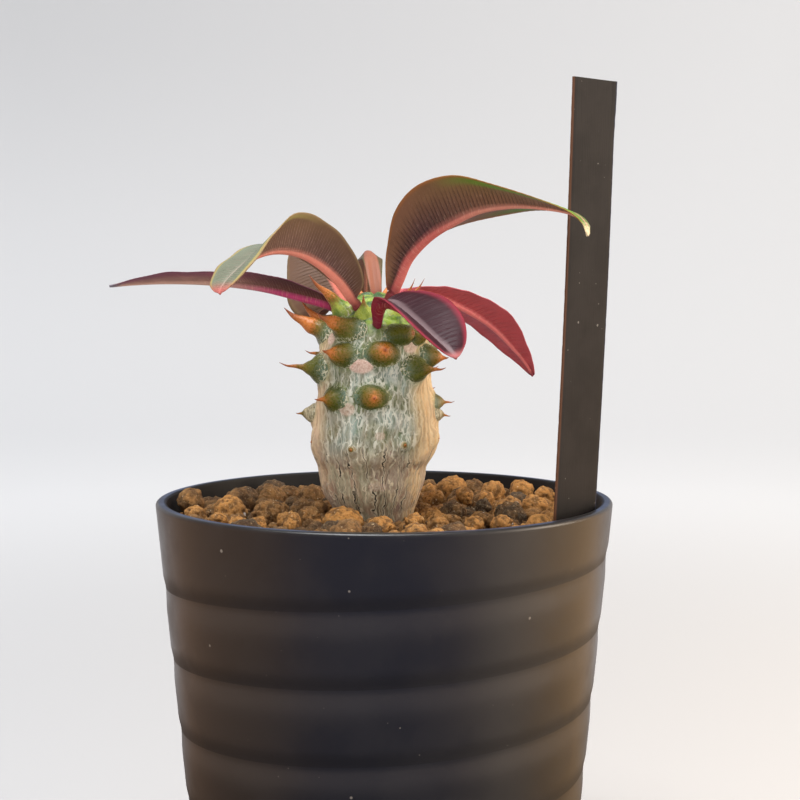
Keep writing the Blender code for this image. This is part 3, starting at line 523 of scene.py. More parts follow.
class Tree:
    """A node tree, with short calls that each add to it and give back what they made."""

    def __init__(self, tree):
        self.tree = tree

    def feed(self, made, inputs):
        """Set or link the inputs of a node."""
        for key, value in inputs.items():
            if isinstance(value, bpy.types.NodeSocket):
                self.tree.links.new(value, made.inputs[key])
            else:
                made.inputs[key].default_value = value

    def add(self, kind, inputs=None, **options):
        """One node, with its options set and its inputs set or linked."""
        made = self.tree.nodes.new(kind)
        for option, value in options.items():
            setattr(made, option, value)
        self.feed(made, inputs or {})
        return made

    def calculate(self, operation, first, second=0.0, third=0.0):
        """The result of one step of arithmetic."""
        return self.add("ShaderNodeMath", {0: first, 1: second, 2: third},
                        operation=operation).outputs[0]

    def times(self, first, second):
        """The product of two values."""
        return self.calculate("MULTIPLY", first, second)

    def stir(self, value, drift, amount):
        """A value moved by a noise to either side of where it is."""
        return self.calculate("MULTIPLY_ADD", self.calculate("SUBTRACT", drift, 0.5), amount, value)

    def remap(self, value, low, high, to_low=0.0, to_high=1.0, smooth=True):
        """A value from one range in another, held at its ends."""
        return self.add("ShaderNodeMapRange", {"Value": value, "From Min": low, "From Max": high,
                                               "To Min": to_low, "To Max": to_high},
                        interpolation_type="SMOOTHSTEP" if smooth else "LINEAR").outputs[0]

    def blend(self, share, first, second):
        """A mix of two colours, either of which may be plain numbers."""
        first, second = (colour if isinstance(colour, bpy.types.NodeSocket) else (*colour[:3], 1.0)
                         for colour in (first, second))
        return self.add("ShaderNodeMix", {0: share, 6: first, 7: second}, data_type="RGBA").outputs[2]

    def vector(self, operation, first, **others):
        """The outputs of one step of arithmetic on vectors."""
        inputs = {0: first}
        for key, name in (("second", 1), ("scale", "Scale")):
            if key in others:
                inputs[name] = others[key]
        return self.add("ShaderNodeVectorMath", inputs, operation=operation).outputs

    def split(self, vector):
        """The three parts of a vector."""
        return self.add("ShaderNodeSeparateXYZ", {0: vector}).outputs

    def join(self, x, y, z=0.0):
        """A vector from its three parts."""
        return self.add("ShaderNodeCombineXYZ", {0: x, 1: y, 2: z}).outputs[0]

    def attribute(self, name):
        """A number stored on the points of the mesh."""
        return self.add("ShaderNodeAttribute", attribute_name=name).outputs["Fac"]

    def place(self, x=1, y=1, z=1):
        """Object coordinates in millimetres times the scale for each axis."""
        where = self.add("ShaderNodeTexCoord").outputs["Object"]
        return self.add("ShaderNodeMapping",
                        {"Vector": where, "Scale": (x / MM, y / MM, z / MM)}).outputs[0]

    def noise(self, vector, scale, detail=3.0, roughness=0.5):
        """Smooth noise from 0 to 1."""
        return self.add("ShaderNodeTexNoise", {"Vector": vector, "Scale": scale, "Detail": detail,
                                               "Roughness": roughness}).outputs["Fac"]

    def shared(self, name, vector, **values):
        """The outputs of a shared group."""
        return self.add("ShaderNodeGroup", {"Vector": vector, **values},
                        node_tree=shared_group(name)).outputs

    def coats(self, colour, *layers):
        """Coats over a colour, one after the other, each with its share."""
        for share, tint in layers:
            colour = self.blend(share, colour, tint)
        return colour

    def unless_mirrored(self, seen, mirrored, output):
        """Show one shader to the eye, and another one to glossy surfaces."""
        glossy = self.add("ShaderNodeLightPath").outputs["Is Glossy Ray"]
        mixed = self.add("ShaderNodeMixShader",
                         {0: glossy, 1: seen.outputs[0], 2: mirrored.outputs[0]})
        self.feed(self.tree.nodes[output], {"Surface": mixed.outputs[0]})

    def mottling(self, vector, scale, low=0.35, high=0.65):
        """The mask of soft patches."""
        return self.shared("Mottling", vector, Scale=scale, Low=low, High=high)["Mask"]

    def dust(self, vector, scale, share, size):
        """The mask of small specks."""
        return self.shared("Dust specks", vector, Scale=scale, Share=share, Size=size)["Mask"]


class Skin(Tree):
    """A material's tree, with its shader and one Bump node already on the shader."""

    def __init__(self, name):
        self.material = bpy.data.materials.new(name)
        self.material.use_nodes = True
        super().__init__(self.material.node_tree)
        self.shader = self.tree.nodes["Principled BSDF"]
        self.bump = self.add("ShaderNodeBump", {"Strength": 1.0, "Distance": 0.0001})
        self.feed(self.shader, {"Normal": self.bump.outputs[0]})

    def finish(self, colour, roughness, relief, depth, specular=0.5):
        """Put colour, roughness and relief on the shader, and give back the material."""
        self.feed(self.shader, {"Base Color": colour, "Roughness": roughness,
                                "Specular IOR Level": specular})
        self.feed(self.bump, {"Height": relief, "Distance": depth})
        return self.material


def draw_specks(tree, given):
    """Sparse dust specks of uneven size: a mask."""
    cells = tree.add("ShaderNodeTexVoronoi", {"Vector": given["Vector"], "Scale": given["Scale"]})
    draw = tree.add("ShaderNodeSeparateColor", {0: cells.outputs["Color"]}).outputs
    chosen = tree.calculate("LESS_THAN", draw[0], given["Share"])
    reach = tree.times(given["Size"], draw[1])
    return [tree.times(chosen, tree.calculate("LESS_THAN", cells.outputs["Distance"], reach))]


def draw_mottling(tree, given):
    """Soft patches at two sizes: a mask from 0 to 1."""
    wide = tree.noise(given["Vector"], given["Scale"], detail=4.0, roughness=0.6)
    return [tree.remap(wide, given["Low"], given["High"])]


def draw_net(tree, given):
    """A net of thin wandering lines: 1 on a line, 0 between, and the strips beside them."""
    drift = tree.add("ShaderNodeTexNoise", {"Vector": given["Vector"], "Scale": 1.5, "Detail": 2.0,
                                            "Roughness": 0.55})
    centred = tree.vector("SUBTRACT", drift.outputs["Color"], second=(0.5, 0.5, 0.5))[0]
    scaled = tree.vector("SCALE", centred, scale=given["Wander"])[0]
    moved = tree.vector("ADD", given["Vector"], second=scaled)[0]
    cells = tree.add("ShaderNodeTexVoronoi", {"Vector": moved, "Scale": given["Scale"]},
                     feature="DISTANCE_TO_EDGE")
    gap = tree.calculate("DIVIDE", cells.outputs["Distance"],
                         tree.times(given["Width"], given["Scale"]))
    return [tree.remap(gap, 1.0, 0.35), tree.remap(gap, 3.2, 1.2)]


def draw_grain(tree, given):
    """Upright wandering lines around a trunk: 1 on a line, and the strips beside them."""
    spot = tree.split(given["Vector"])
    turn = tree.calculate("ARCTAN2", spot[0], tree.times(spot[1], -1.0))
    flat = tree.vector("MULTIPLY", given["Vector"], second=(1.0, 1.0, 0.45))[0]
    phase = tree.times(turn, given["Count"])
    phase = tree.stir(phase, tree.noise(flat, 0.30, detail=1.0), given["Wander"])
    phase = tree.stir(phase, tree.noise(given["Vector"], 0.75, detail=2.0), given["Wiggle"])
    gap = tree.calculate("ABSOLUTE", tree.calculate("SINE", tree.times(phase, 0.5)))
    gap = tree.calculate("DIVIDE", gap, given["Width"])
    return [tree.remap(gap, 1.0, 0.4), tree.remap(gap, 2.6, 1.2)]


# Shared shader groups: what draws them, their inputs and their outputs.
GROUPS = {
    "Dust specks": (draw_specks, {"Vector": None, "Scale": 1.0, "Share": 0.1, "Size": 0.1},
                    ("Mask",)),
    "Mottling": (draw_mottling, {"Vector": None, "Scale": 1.0, "Low": 0.35, "High": 0.65},
                 ("Mask",)),
    "Line net": (draw_net, {"Vector": None, "Scale": 1.0, "Wander": 0.5, "Width": 0.1},
                 ("Lines", "Beside")),
    "Grain lines": (draw_grain, {"Vector": None, "Count": 60.0, "Wander": 10.0, "Wiggle": 4.0,
                                 "Width": 0.3}, ("Lines", "Beside")),
}


def shared_group(name):
    """A shader node group with named inputs and outputs, built on its first use."""
    if name in bpy.data.node_groups:
        return bpy.data.node_groups[name]
    draw, inputs, outputs = GROUPS[name]
    group = bpy.data.node_groups.new(name, "ShaderNodeTree")
    for key, default in inputs.items():
        kind = "NodeSocketVector" if default is None else "NodeSocketFloat"
        socket = group.interface.new_socket(name=key, in_out="INPUT", socket_type=kind)
        if default is not None:
            socket.default_value = default
    for key in outputs:
        group.interface.new_socket(name=key, in_out="OUTPUT", socket_type="NodeSocketFloat")
    tree = Tree(group)
    results = draw(tree, group.nodes.new("NodeGroupInput").outputs)
    tree.add("NodeGroupOutput", dict(zip(outputs, results)))
    return group


def geometry_tree(name, inputs):
    """A geometry node tree with named inputs of the kinds given, and those inputs inside."""
    made = bpy.data.node_groups.new(name, "GeometryNodeTree")
    for key, kind in {"Geometry": "Geometry", **inputs}.items():
        made.interface.new_socket(name=key, in_out="INPUT", socket_type="NodeSocket" + kind)
    made.interface.new_socket(name="Geometry", in_out="OUTPUT", socket_type="NodeSocketGeometry")
    return Tree(made), made.nodes.new("NodeGroupInput").outputs


def finish_geometry(tree, geometry, material):
    """The last steps of a geometry node tree: smooth shading and the material."""
    smooth = tree.add("GeometryNodeSetShadeSmooth", {"Geometry": geometry})
    finished = tree.add("GeometryNodeSetMaterial",
                        {"Geometry": smooth.outputs[0], "Material": material})
    tree.add("NodeGroupOutput", {0: finished.outputs[0]})
    return tree.tree


def keep_step(piece, step):
    """Keep a modifier's result as the piece's plain mesh, and drop the modifier."""
    graph = bpy.context.evaluated_depsgraph_get()
    result = bpy.data.meshes.new_from_object(piece.evaluated_get(graph))
    piece.modifiers.remove(step)
    old, piece.data = piece.data, result
    bpy.data.meshes.remove(old)


def apply_tree(piece, tree, values):
    """Run a geometry node tree on a piece and keep the result as its plain mesh."""
    step = piece.modifiers.new(tree.name, "NODES")
    step.node_group = tree
    for item in tree.interface.items_tree:
        if item.item_type == "SOCKET" and item.in_out == "INPUT" and item.name in values:
            step[item.identifier] = values[item.name]
    keep_step(piece, step)


# Pot

def wall_radius(height):
    """Radius of the plain outer wall."""
    return RIM_RADIUS + WALL_TAPER * height


def pot_plastic(settings):
    """Satin black plastic with a little dust, painted shade along the groove's ledge and inside the
    pot, and a painted highlight along the groove's lower side.
    """
    tree = Skin("black_plastic")
    where = tree.place()
    patches = tree.mottling(where, 0.08)
    x, y, height = tree.split(where)
    share = tree.calculate("DIVIDE", tree.calculate("ARCTAN2", y, x), TURN)
    drop = tree.calculate("SUBTRACT", height, RIM_HEIGHT + GROOVE_FRONT_HEIGHT)
    drop = tree.calculate("DIVIDE", drop, settings.groove_pitch / MM)
    phase = tree.calculate("ADD", tree.calculate("SUBTRACT", share, drop), 100.25)
    phase = tree.calculate("FRACT", phase)
    wall = tree.times(tree.remap(height, RIM_HEIGHT - 6.0, RIM_HEIGHT - 9.0),
                      tree.remap(height, 5.0, 9.0))
    # Painted shade: darker along the groove's ledge.
    painted_groove_shade = tree.times(tree.remap(phase, 0.70, 0.98), wall)
    # Painted highlight: lighter along the groove's run, its lower side.
    painted_groove_highlight = tree.times(tree.remap(phase, 0.0, 0.10), tree.remap(phase, 0.50, 0.14))
    painted_groove_highlight = tree.times(painted_groove_highlight, wall)
    # Painted shade: the inside of the wall is darkened nearly to black.
    ring = tree.vector("LENGTH", tree.join(x, y))["Value"]
    middle = tree.calculate("MULTIPLY_ADD", height, WALL_TAPER,
                            RIM_RADIUS - 0.5 * WALL_THICKNESS - WALL_TAPER * RIM_HEIGHT)
    inner = tree.remap(tree.calculate("SUBTRACT", ring, middle), -0.3, -0.7)
    specks = tree.dust(where, 0.42, 0.10, 0.11)
    lint = paint(150, 140, 128)
    colour = tree.coats(settings.plastic,
                        (tree.remap(patches, 0, 1, 0, 0.30), paint(44, 40, 38)),
                        (tree.times(painted_groove_highlight, 0.35), paint(60, 55, 52)),
                        (tree.times(painted_groove_shade, 0.5), paint(14, 12, 12)),
                        (tree.times(inner, 0.8), paint(8, 7, 7)),
                        (tree.times(specks, 0.5), lint),
                        (tree.times(tree.dust(where, 1.3, 0.05, 0.16), 0.22), lint))
    rough = tree.calculate("MULTIPLY_ADD", painted_groove_shade, 0.2, tree.remap(patches, 0, 1, 0.32, 0.40))
    rough = tree.calculate("MULTIPLY_ADD", inner, 0.4, rough)
    skin = tree.noise(where, 9.0, detail=2.0)
    relief = tree.calculate("MULTIPLY_ADD", specks, 0.8, skin)
    return tree.finish(colour, rough, relief, 0.000012)


def spiral_wall_tree():
    """Geometry nodes that join a grooved wall to the rest of the pot."""
    lengths = ("Pitch", "Depth", "Rim height", "Rim radius", "Front height", "Top", "Bottom")
    tree, given = geometry_tree("Spiral wall", {
        "Columns": "Int", "Rows per turn": "Int", "Turns": "Int",
        **dict.fromkeys(lengths, "Float"), "Material": "Material"})
    rows = tree.calculate("MULTIPLY_ADD", given["Rows per turn"], given["Turns"], 1.0)
    grid = tree.add("GeometryNodeMeshGrid", {
        "Size X": 1.0, "Size Y": 1.0, "Vertices Y": rows,
        "Vertices X": tree.calculate("ADD", given["Columns"], 1.0)})
    x, y, _ = tree.split(tree.add("GeometryNodeInputPosition").outputs[0])
    share = tree.calculate("ADD", x, 0.5)
    turns_down = tree.calculate("MULTIPLY_ADD", tree.calculate("SUBTRACT", 0.5, y),
                                given["Turns"], -2.0)
    angle = tree.times(share, TURN)
    climb = tree.calculate("SUBTRACT", tree.calculate("SUBTRACT", share, 0.75), turns_down)
    line = tree.calculate("MULTIPLY_ADD", climb, given["Pitch"], given["Front height"])
    height = tree.calculate("MAXIMUM", tree.calculate("MINIMUM", line, given["Top"]),
                            given["Bottom"])
    whole = tree.calculate("FLOOR", tree.calculate("ADD", turns_down, 1e-4))
    phase = tree.calculate("SUBTRACT", turns_down, whole)
    groove = tree.calculate("MAXIMUM", tree.remap(phase, GROOVE_RUN, 0.0),
                            tree.remap(phase, 1.0 - GROOVE_LIP, 1.0))
    near_rim = tree.remap(height, -7.5 * MM, -5.0 * MM, 1.0, 0.0)
    near_foot = tree.remap(height, (4.0 - RIM_HEIGHT) * MM, (9.0 - RIM_HEIGHT) * MM)
    cut = tree.times(tree.times(groove, given["Depth"]), tree.times(near_rim, near_foot))
    wall = tree.calculate("MULTIPLY_ADD", height, WALL_TAPER, given["Rim radius"])
    radius = tree.calculate("SUBTRACT", wall, cut)
    place = tree.join(tree.times(radius, tree.calculate("COSINE", angle)),
                      tree.times(radius, tree.calculate("SINE", angle)),
                      tree.calculate("ADD", height, given["Rim height"]))
    wrapped = tree.add("GeometryNodeSetPosition",
                       {"Geometry": grid.outputs["Mesh"], "Position": place})
    joined = tree.add("GeometryNodeJoinGeometry")
    for part in (wrapped.outputs[0], given["Geometry"]):
        tree.feed(joined, {0: part})
    welded = tree.add("GeometryNodeMergeByDistance",
                      {"Geometry": joined.outputs[0], "Distance": 0.00002})
    plain = tree.add("GeometryNodeRealizeInstances", {"Geometry": welded.outputs[0]})
    return finish_geometry(tree, plain.outputs[0], given["Material"])


def build_pot(settings):
    """The pot: rim, inside and foot turned, and the grooved wall between them."""
    columns = POT_COLUMNS
    floor = FOOT_LIFT + FLOOR_THICKNESS - RIM_HEIGHT
    inside = RIM_RADIUS - WALL_THICKNESS
    foot = wall_radius(-RIM_HEIGHT)
    channel = FOOT_LIFT - RIM_HEIGHT
    upper = [(wall_radius(GROOVED_TOP), GROOVED_TOP)]
    upper += fillet((RIM_RADIUS - 0.62, -0.62), 0.56, 0, 90, 8)
    upper += fillet((inside + 0.5, -0.45), 0.4, 90, 180, 6)
    upper += [(inside + 0.1 + WALL_TAPER * height, height) for height in (-2.0, -6.0, -20.0, -45.0)]
    upper += fillet((inside + WALL_TAPER * floor - 1.0, floor + 1.0), 1.0, 0, -90, 5)
    under = [(wall_radius(GROOVED_BOTTOM), GROOVED_BOTTOM)]
    under += fillet((foot - 0.6, 0.6 - RIM_HEIGHT), 0.6, 0, -90, 5)
    under += [(FOOT_RING_RADIUS + 0.2, -RIM_HEIGHT), (FOOT_RING_RADIUS, 0.2 - RIM_HEIGHT),
              (FOOT_RING_RADIUS - 0.5, channel - 0.1), (FOOT_RING_RADIUS - 0.7, channel),
              (CENTRE_PAD_RADIUS + 0.7, channel), (CENTRE_PAD_RADIUS + 0.5, channel - 0.1),
              (CENTRE_PAD_RADIUS, 0.2 - RIM_HEIGHT), (CENTRE_PAD_RADIUS - 0.2, -RIM_HEIGHT)]
    top_points, top_faces = lathe(upper, columns, close_end=True)
    low_points, low_faces = lathe(under, columns, close_end=True)
    shift = len(upper) * columns
    points = np.concatenate([top_points.reshape(-1, 3), low_points.reshape(-1, 3)])
    faces = top_faces + [[index + shift for index in face] for face in low_faces]
    plastic = pot_plastic(settings)
    pot = make_piece("pot_body", points, faces, plastic)
    apply_tree(pot, spiral_wall_tree(), {
        "Columns": columns, "Rows per turn": GROOVE_ROWS, "Turns": GROOVE_TURNS,
        "Pitch": settings.groove_pitch, "Depth": settings.groove_depth,
        "Rim height": RIM_HEIGHT * MM, "Rim radius": RIM_RADIUS * MM,
        "Front height": GROOVE_FRONT_HEIGHT * MM, "Top": GROOVED_TOP * MM,
        "Bottom": GROOVED_BOTTOM * MM, "Material": plastic})
    face_outward(pot.data, clean=True)
    drill_drains(pot, plastic)
    pot.data.set_sharp_from_angle(angle=math.radians(50.0))
    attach(pot, "root")
    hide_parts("pot")


def drill_drains(pot, plastic):
    """Cut the drain holes through the floor."""
    ring_radius = 0.5 * (FOOT_RING_RADIUS + CENTRE_PAD_RADIUS)
    cut = []
    for hole in range(DRAIN_HOLES):
        turn = TURN * (hole + 0.5) / DRAIN_HOLES
        points, faces = lathe([(DRAIN_HOLE_RADIUS, 0.5 * FOOT_LIFT - RIM_HEIGHT),
                               (DRAIN_HOLE_RADIUS, 6.0 - RIM_HEIGHT)], 32, close_start=True,
                              close_end=True)
        points[..., 0] += ring_radius * math.cos(turn)
        points[..., 1] += ring_radius * math.sin(turn)
        cut.append(make_piece("drain_drill", points, faces, plastic, recalculate=True))
    group = bpy.data.collections.new("drills")
    for drill in cut:
        group.objects.link(drill)
    step = pot.modifiers.new("drains", "BOOLEAN")
    step.operation = "DIFFERENCE"
    step.solver = "MANIFOLD"
    step.operand_type = "COLLECTION"
    step.collection = group
    keep_step(pot, step)
    for drill in cut:
        bpy.data.objects.remove(drill)
    bpy.data.collections.remove(group)


# Potting mix

def clay(settings, name, bed=False):
    """Porous fired clay: tone from the granule, painted highlights on the knobs, painted shade in the
    hollows between them and in the pores, sand and white grains.
    """
    tree = Skin(name)
    where = tree.place()
    patches = tree.mottling(where, 0.6, 0.3, 0.7)
    grains = tree.noise(where, 2.6, detail=7.0, roughness=0.8)
    # The bed is darker than any granule: painted shade for the gaps between the granules.
    if bed:
        colour = tree.blend(patches, paint(40, 28, 20), settings.dark)
    else:
        tone, knob = tree.attribute("tone"), tree.attribute("knob")
        shade = tree.stir(tone, patches, 0.35)
        # Painted highlight: the knob tops are paler, more so on brighter granules.
        crest = tree.times(tree.remap(knob, 0.54, 0.80), tree.remap(tone, 0, 1, 0.3, 0.75))
        colour = tree.coats(settings.dark,
                            (tree.remap(shade, 0.0, 0.5), settings.brown),
                            (tree.remap(shade, 0.45, 1.0), settings.orange),
                            # Painted shade: darker in the hollows between the knobs.
                            (tree.times(tree.remap(knob, 0.46, 0.26), 0.7), paint(76, 50, 28)),
                            (crest, paint(220, 182, 126)))
    # The pores: painted shade in them, and dents in the relief.
    shaded_pores = tree.dust(where, 1.5, 0.35, 0.34)
    sand = tree.dust(tree.place(1.03, 0.97, 1.01), 1.9, 0.16, 0.3)
    white = tree.dust(where, 0.7, 0.05, 0.3)
    colour = tree.coats(colour,
                        (tree.times(tree.remap(grains, 0.47, 0.39), 0.55), paint(84, 56, 32)),
                        (tree.times(tree.remap(grains, 0.54, 0.64), 0.5), paint(222, 188, 138)),
                        (tree.times(shaded_pores, 0.6), paint(60, 38, 22)),
                        (tree.times(sand, 0.6), paint(226, 202, 164)),
                        (tree.times(white, 0.85), paint(240, 232, 222)))
    relief = tree.calculate("MULTIPLY_ADD", shaded_pores, -0.5, grains)
    relief = tree.calculate("MULTIPLY_ADD", sand, 0.25, relief)
    return tree.finish(colour, 0.85, relief, 0.0006, 0.3)


def granule_tree():
    """Geometry nodes that grow a knobbly clay granule on each point."""
    tree, given = geometry_tree("Granules", {
        "Fineness": "Int", "Lump height": "Float", "Knob height": "Float",
        "Pit depth": "Float", "Seed": "Float", "Material": "Material"})

    def grown(kind, scale, output, **options):
        """Noise or cells in four dimensions, the fourth being the seed."""
        inputs = {"Vector": tree.add("GeometryNodeInputPosition").outputs[0],
                  "Scale": scale, "W": given["Seed"]}
        return tree.add(kind, inputs, **options).outputs[output]

    ball = tree.add("GeometryNodeMeshIcoSphere",
                    {"Radius": 1.0, "Subdivisions": given["Fineness"]})
    size, turned = (tree.add("GeometryNodeInputNamedAttribute", {"Name": name},
                             data_type="FLOAT_VECTOR").outputs["Attribute"]
                    for name in ("size", "turned"))
    planted = tree.add("GeometryNodeInstanceOnPoints",
                       {"Points": given["Geometry"], "Instance": ball.outputs["Mesh"],
                        "Rotation": turned, "Scale": size})
    plain = tree.add("GeometryNodeRealizeInstances", {"Geometry": planted.outputs[0]})
    cells = {"voronoi_dimensions": "4D", "feature": "SMOOTH_F1"}
    lumps = grown("ShaderNodeTexNoise", 330.0, "Fac", noise_dimensions="4D")
    facets = grown("ShaderNodeTexVoronoi", 560.0, "Distance", **cells)
    knobs = grown("ShaderNodeTexVoronoi", 1250.0, "Distance", **cells)
    pits = grown("ShaderNodeTexNoise", 2600.0, "Fac", noise_dimensions="4D")
    irregular = tree.stir(tree.calculate("SUBTRACT", 0.5, facets), lumps, 2.2)
    knobbly = tree.calculate("SUBTRACT", 0.5, knobs)
    rise = tree.times(irregular, given["Lump height"])
    rise = tree.calculate("MULTIPLY_ADD", knobbly, given["Knob height"], rise)
    rise = tree.stir(rise, pits, tree.times(given["Pit depth"], 2.0))
    # High on the knobs and low in the hollows and pits: the clay paints its highlights and its shade
    # from this.
    crest = tree.calculate("ADD", tree.times(pits, 0.5),
                           tree.calculate("MULTIPLY_ADD", knobbly, 0.7, 0.12))
    marked = tree.add("GeometryNodeStoreNamedAttribute",
                      {"Geometry": plain.outputs[0], "Name": "knob", "Value": crest},
                      data_type="FLOAT", domain="POINT")
    offset = tree.vector("SCALE", tree.add("GeometryNodeInputNormal").outputs[0], scale=rise)
    rough = tree.add("GeometryNodeSetPosition",
                     {"Geometry": marked.outputs[0], "Offset": offset[0]})
    return finish_geometry(tree, rough.outputs[0], given["Material"])


def bed_radius(height):
    """Radius of the mix, a small gap away from the pot's wall."""
    return RIM_RADIUS - WALL_THICKNESS + WALL_TAPER * height - CLEARANCE


def lay_granules():
    """Granules as (x, y, radius, top, tone), the named ones first and then the rest."""
    draw = random.Random(GRANULE_SEED)
    tone = random.Random(GRANULE_SEED + 5)
    granules = [(x, y, 0.5 * width, top, shade) for x, y, width, top, shade in NAMED_GRANULES]
    edge = bed_radius(BED_LEVEL)
    stem_radius, stem_x = stem_at(BED_LEVEL)
    left_foot, right_foot = LABEL_FEET
    strip = right_foot - left_foot
    for shrink in (1.0, 0.75, 0.5):
        for _ in range(GRANULE_TRIES):
            x, y = draw.uniform(-edge, edge), draw.uniform(-edge, edge)
            radius = GRANULE_RADII[0] + (GRANULE_RADII[1] - GRANULE_RADII[0]) * shrink * draw.random()
            top = BED_LEVEL + radius * draw.uniform(0.75, 1.35)
            spot = Vector((x, y))
            along = min(max((spot - left_foot).dot(strip) / strip.length_squared, 0), 1)
            gaps = (edge - spot.length - 0.75 * radius,
                    math.hypot(x - stem_x, y) - stem_radius - CLEARANCE - 0.85 * radius,
                    (spot - left_foot - strip * along).length - 0.7 * radius - 0.6)
            if min(gaps) < 0.0:
                continue
            if all(math.hypot(x - other[0], y - other[1]) > 0.93 * (radius + other[2])
                   for other in granules):
                warm = 0.25 + 0.35 * (x > 0) + 0.15 * (y < 0)
                granules.append((x, y, radius, top, min(max(tone.gauss(warm, 0.22), 0.0), 1.0)))
    return granules


def grow_granules(name, granules, fineness, settings, tree, material):
    """One piece of granules from rows of x, y, radius, top and tone."""
    draw = random.Random(name)
    mesh = bpy.data.meshes.new(name)
    places, sizes, turns, tones = [], [], [], []
    for x, y, radius, top, tone in granules:
        tall = radius * draw.uniform(0.74, 0.98)
        places.append((x * MM, y * MM, (RIM_HEIGHT + top - tall - 0.1) * MM))
        sizes.append((radius * draw.uniform(0.92, 1.12) * MM, radius * draw.uniform(0.78, 0.98) * MM,
                      tall * MM))
        turns.append((draw.uniform(-0.35, 0.35), draw.uniform(-0.35, 0.35), draw.uniform(0, TURN)))
        tones.append(tone)
    mesh.from_pydata(places, [], [])
    store(mesh, {"size": sizes, "turned": turns, "tone": tones})
    piece = add_object(name, mesh)
    share = min(1.0, float(np.mean([row[2] for row in granules])) / 1.6)
    apply_tree(piece, tree, {"Fineness": fineness, "Lump height": settings.lump_height * share,
                             "Knob height": settings.knob_height * share,
                             "Pit depth": settings.pit_depth, "Seed": 3.0, "Material": material})
    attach(piece, "root")


def build_bed(settings):
    """The crumbly ground under the granules, down to the pot's floor, darker than any granule as
    painted shade in the gaps between them.
    """
    edge = bed_radius(BED_LEVEL)
    floor = FOOT_LIFT + FLOOR_THICKNESS + CLEARANCE - RIM_HEIGHT
    rings = [(edge * share, BED_LEVEL) for share in np.linspace(0.004, 1.0, BED_RINGS)]
    rings += [(bed_radius(height), height) for height in np.linspace(BED_LEVEL - 1.0, floor, 14)]
    rings.append((0.01, floor))
    points, faces = lathe(rings, BED_COLUMNS, close_start=True, close_end=True)
    lift = noise_over(points, 0.45, 2) * 0.9 + noise_over(points, 1.3, 3) * 0.35
    inner = 1.0 - smooth_step(np.hypot(points[..., 0], points[..., 1]), edge - 1.5, edge - 0.4)
    inner[BED_RINGS:] = 0.0
    points[..., 2] += np.where(inner > 0, (lift - 0.3) * inner, 0.0)
    bed = make_piece("mix_bed", points, faces, clay(settings, "bed_clay", bed=True),
                     recalculate=True)
    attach(bed, "root")
    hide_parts("soil")


def crumbs_for(granules):
    """Small crumbs between the granules, as rows like theirs."""
    draw = random.Random(GRANULE_SEED + 9)
    stem_radius, stem_x = stem_at(BED_LEVEL)
    edge = bed_radius(BED_LEVEL)
    crumbs = []
    while len(crumbs) < CRUMBS:
        x, y = draw.uniform(-edge, edge), draw.uniform(-edge, edge)
        radius = draw.uniform(0.25, 0.8)
        if math.hypot(x, y) > edge - radius or math.hypot(x - stem_x, y) < stem_radius + 0.3:
            continue
        if any(math.hypot(x - a, y - b) < 0.72 * size for a, b, size, _, _ in granules):
            continue
        crumbs.append((x, y, radius, BED_LEVEL + draw.uniform(0.3, 1.5), draw.uniform(0.15, 0.9)))
    return crumbs


def build_mix(settings):
    """The bed, the granules on it, finer where the viewer sees them close, and the crumbs."""
    build_bed(settings)
    tree = granule_tree()
    material = clay(settings, "granule_clay")
    granules = lay_granules()
    shown = [row for row in granules if row[1] < -2.0]
    hidden = [row for row in granules if row[1] >= -2.0]
    grow_granules("granules_front", shown[:FINE_GRANULES], 5, settings, tree, material)
    grow_granules("granules_side", shown[FINE_GRANULES:], 4, settings, tree, material)
    grow_granules("granules_back", hidden, 4, settings, tree, material)
    grow_granules("crumbs", crumbs_for(granules), 2, settings, tree, material)


# Stem

def stem_at(height):
    """Radius and x of the axis of the trunk at any height."""
    table = np.array(STEM_PROFILE)
    return (np.interp(height, table[:, 0], table[:, 1]), np.interp(height, table[:, 0], table[:, 2]))


def leaf_place(number):
    """Angle in radians (0 faces the viewer, positive to the right) and height."""
    angle = math.radians(FRONT_SCAR_ANGLE + GOLDEN_TURN * number)
    spacing = YOUNG_SPACING if number < 0 else PLACE_SPACING
    return math.remainder(angle, TURN), FRONT_SCAR_HEIGHT - spacing * number


def stem_surface(angle, height):
    """Point on the bare trunk and the direction straight out of it there."""
    height = min(height, STEM_TOP - 0.6)
    radius, axis_x = stem_at(height)
    slope = stem_at(height + 0.5)[0] - stem_at(height - 0.5)[0]
    outward = Vector((math.sin(angle), -math.cos(angle), -slope)).normalized()
    point = Vector((axis_x + radius * math.sin(angle), -radius * math.cos(angle), height))
    return point, outward


def cushion_size(number):
    """Width, height, reach, spine length and lift of the cushions at a leaf place."""
    if number < -8:
        return 2.4, 2.4, 1.2, 3.0, 50
    if number < -5:
        return 4.0, 3.8, 2.4, 4.4, 42
    if number < 0:
        return 4.8, 4.2, 2.6, 2.8, 26
    if number < 6:
        return 5.2, 4.4, 3.0, 3.0, 8
    fade = (number - 6) / (LAST_GREEN_PLACE - 6)
    return 4.8 - 1.2 * fade, 4.2 - 1.2 * fade, 2.4 - 1.0 * fade, 2.2 - 1.2 * fade, 0


def line_mask(values, width, soft):
    """1 along the zero lines of a noise, fading out over a soft border."""
    return 1.0 - smooth_step(np.abs(values), width, width + soft)


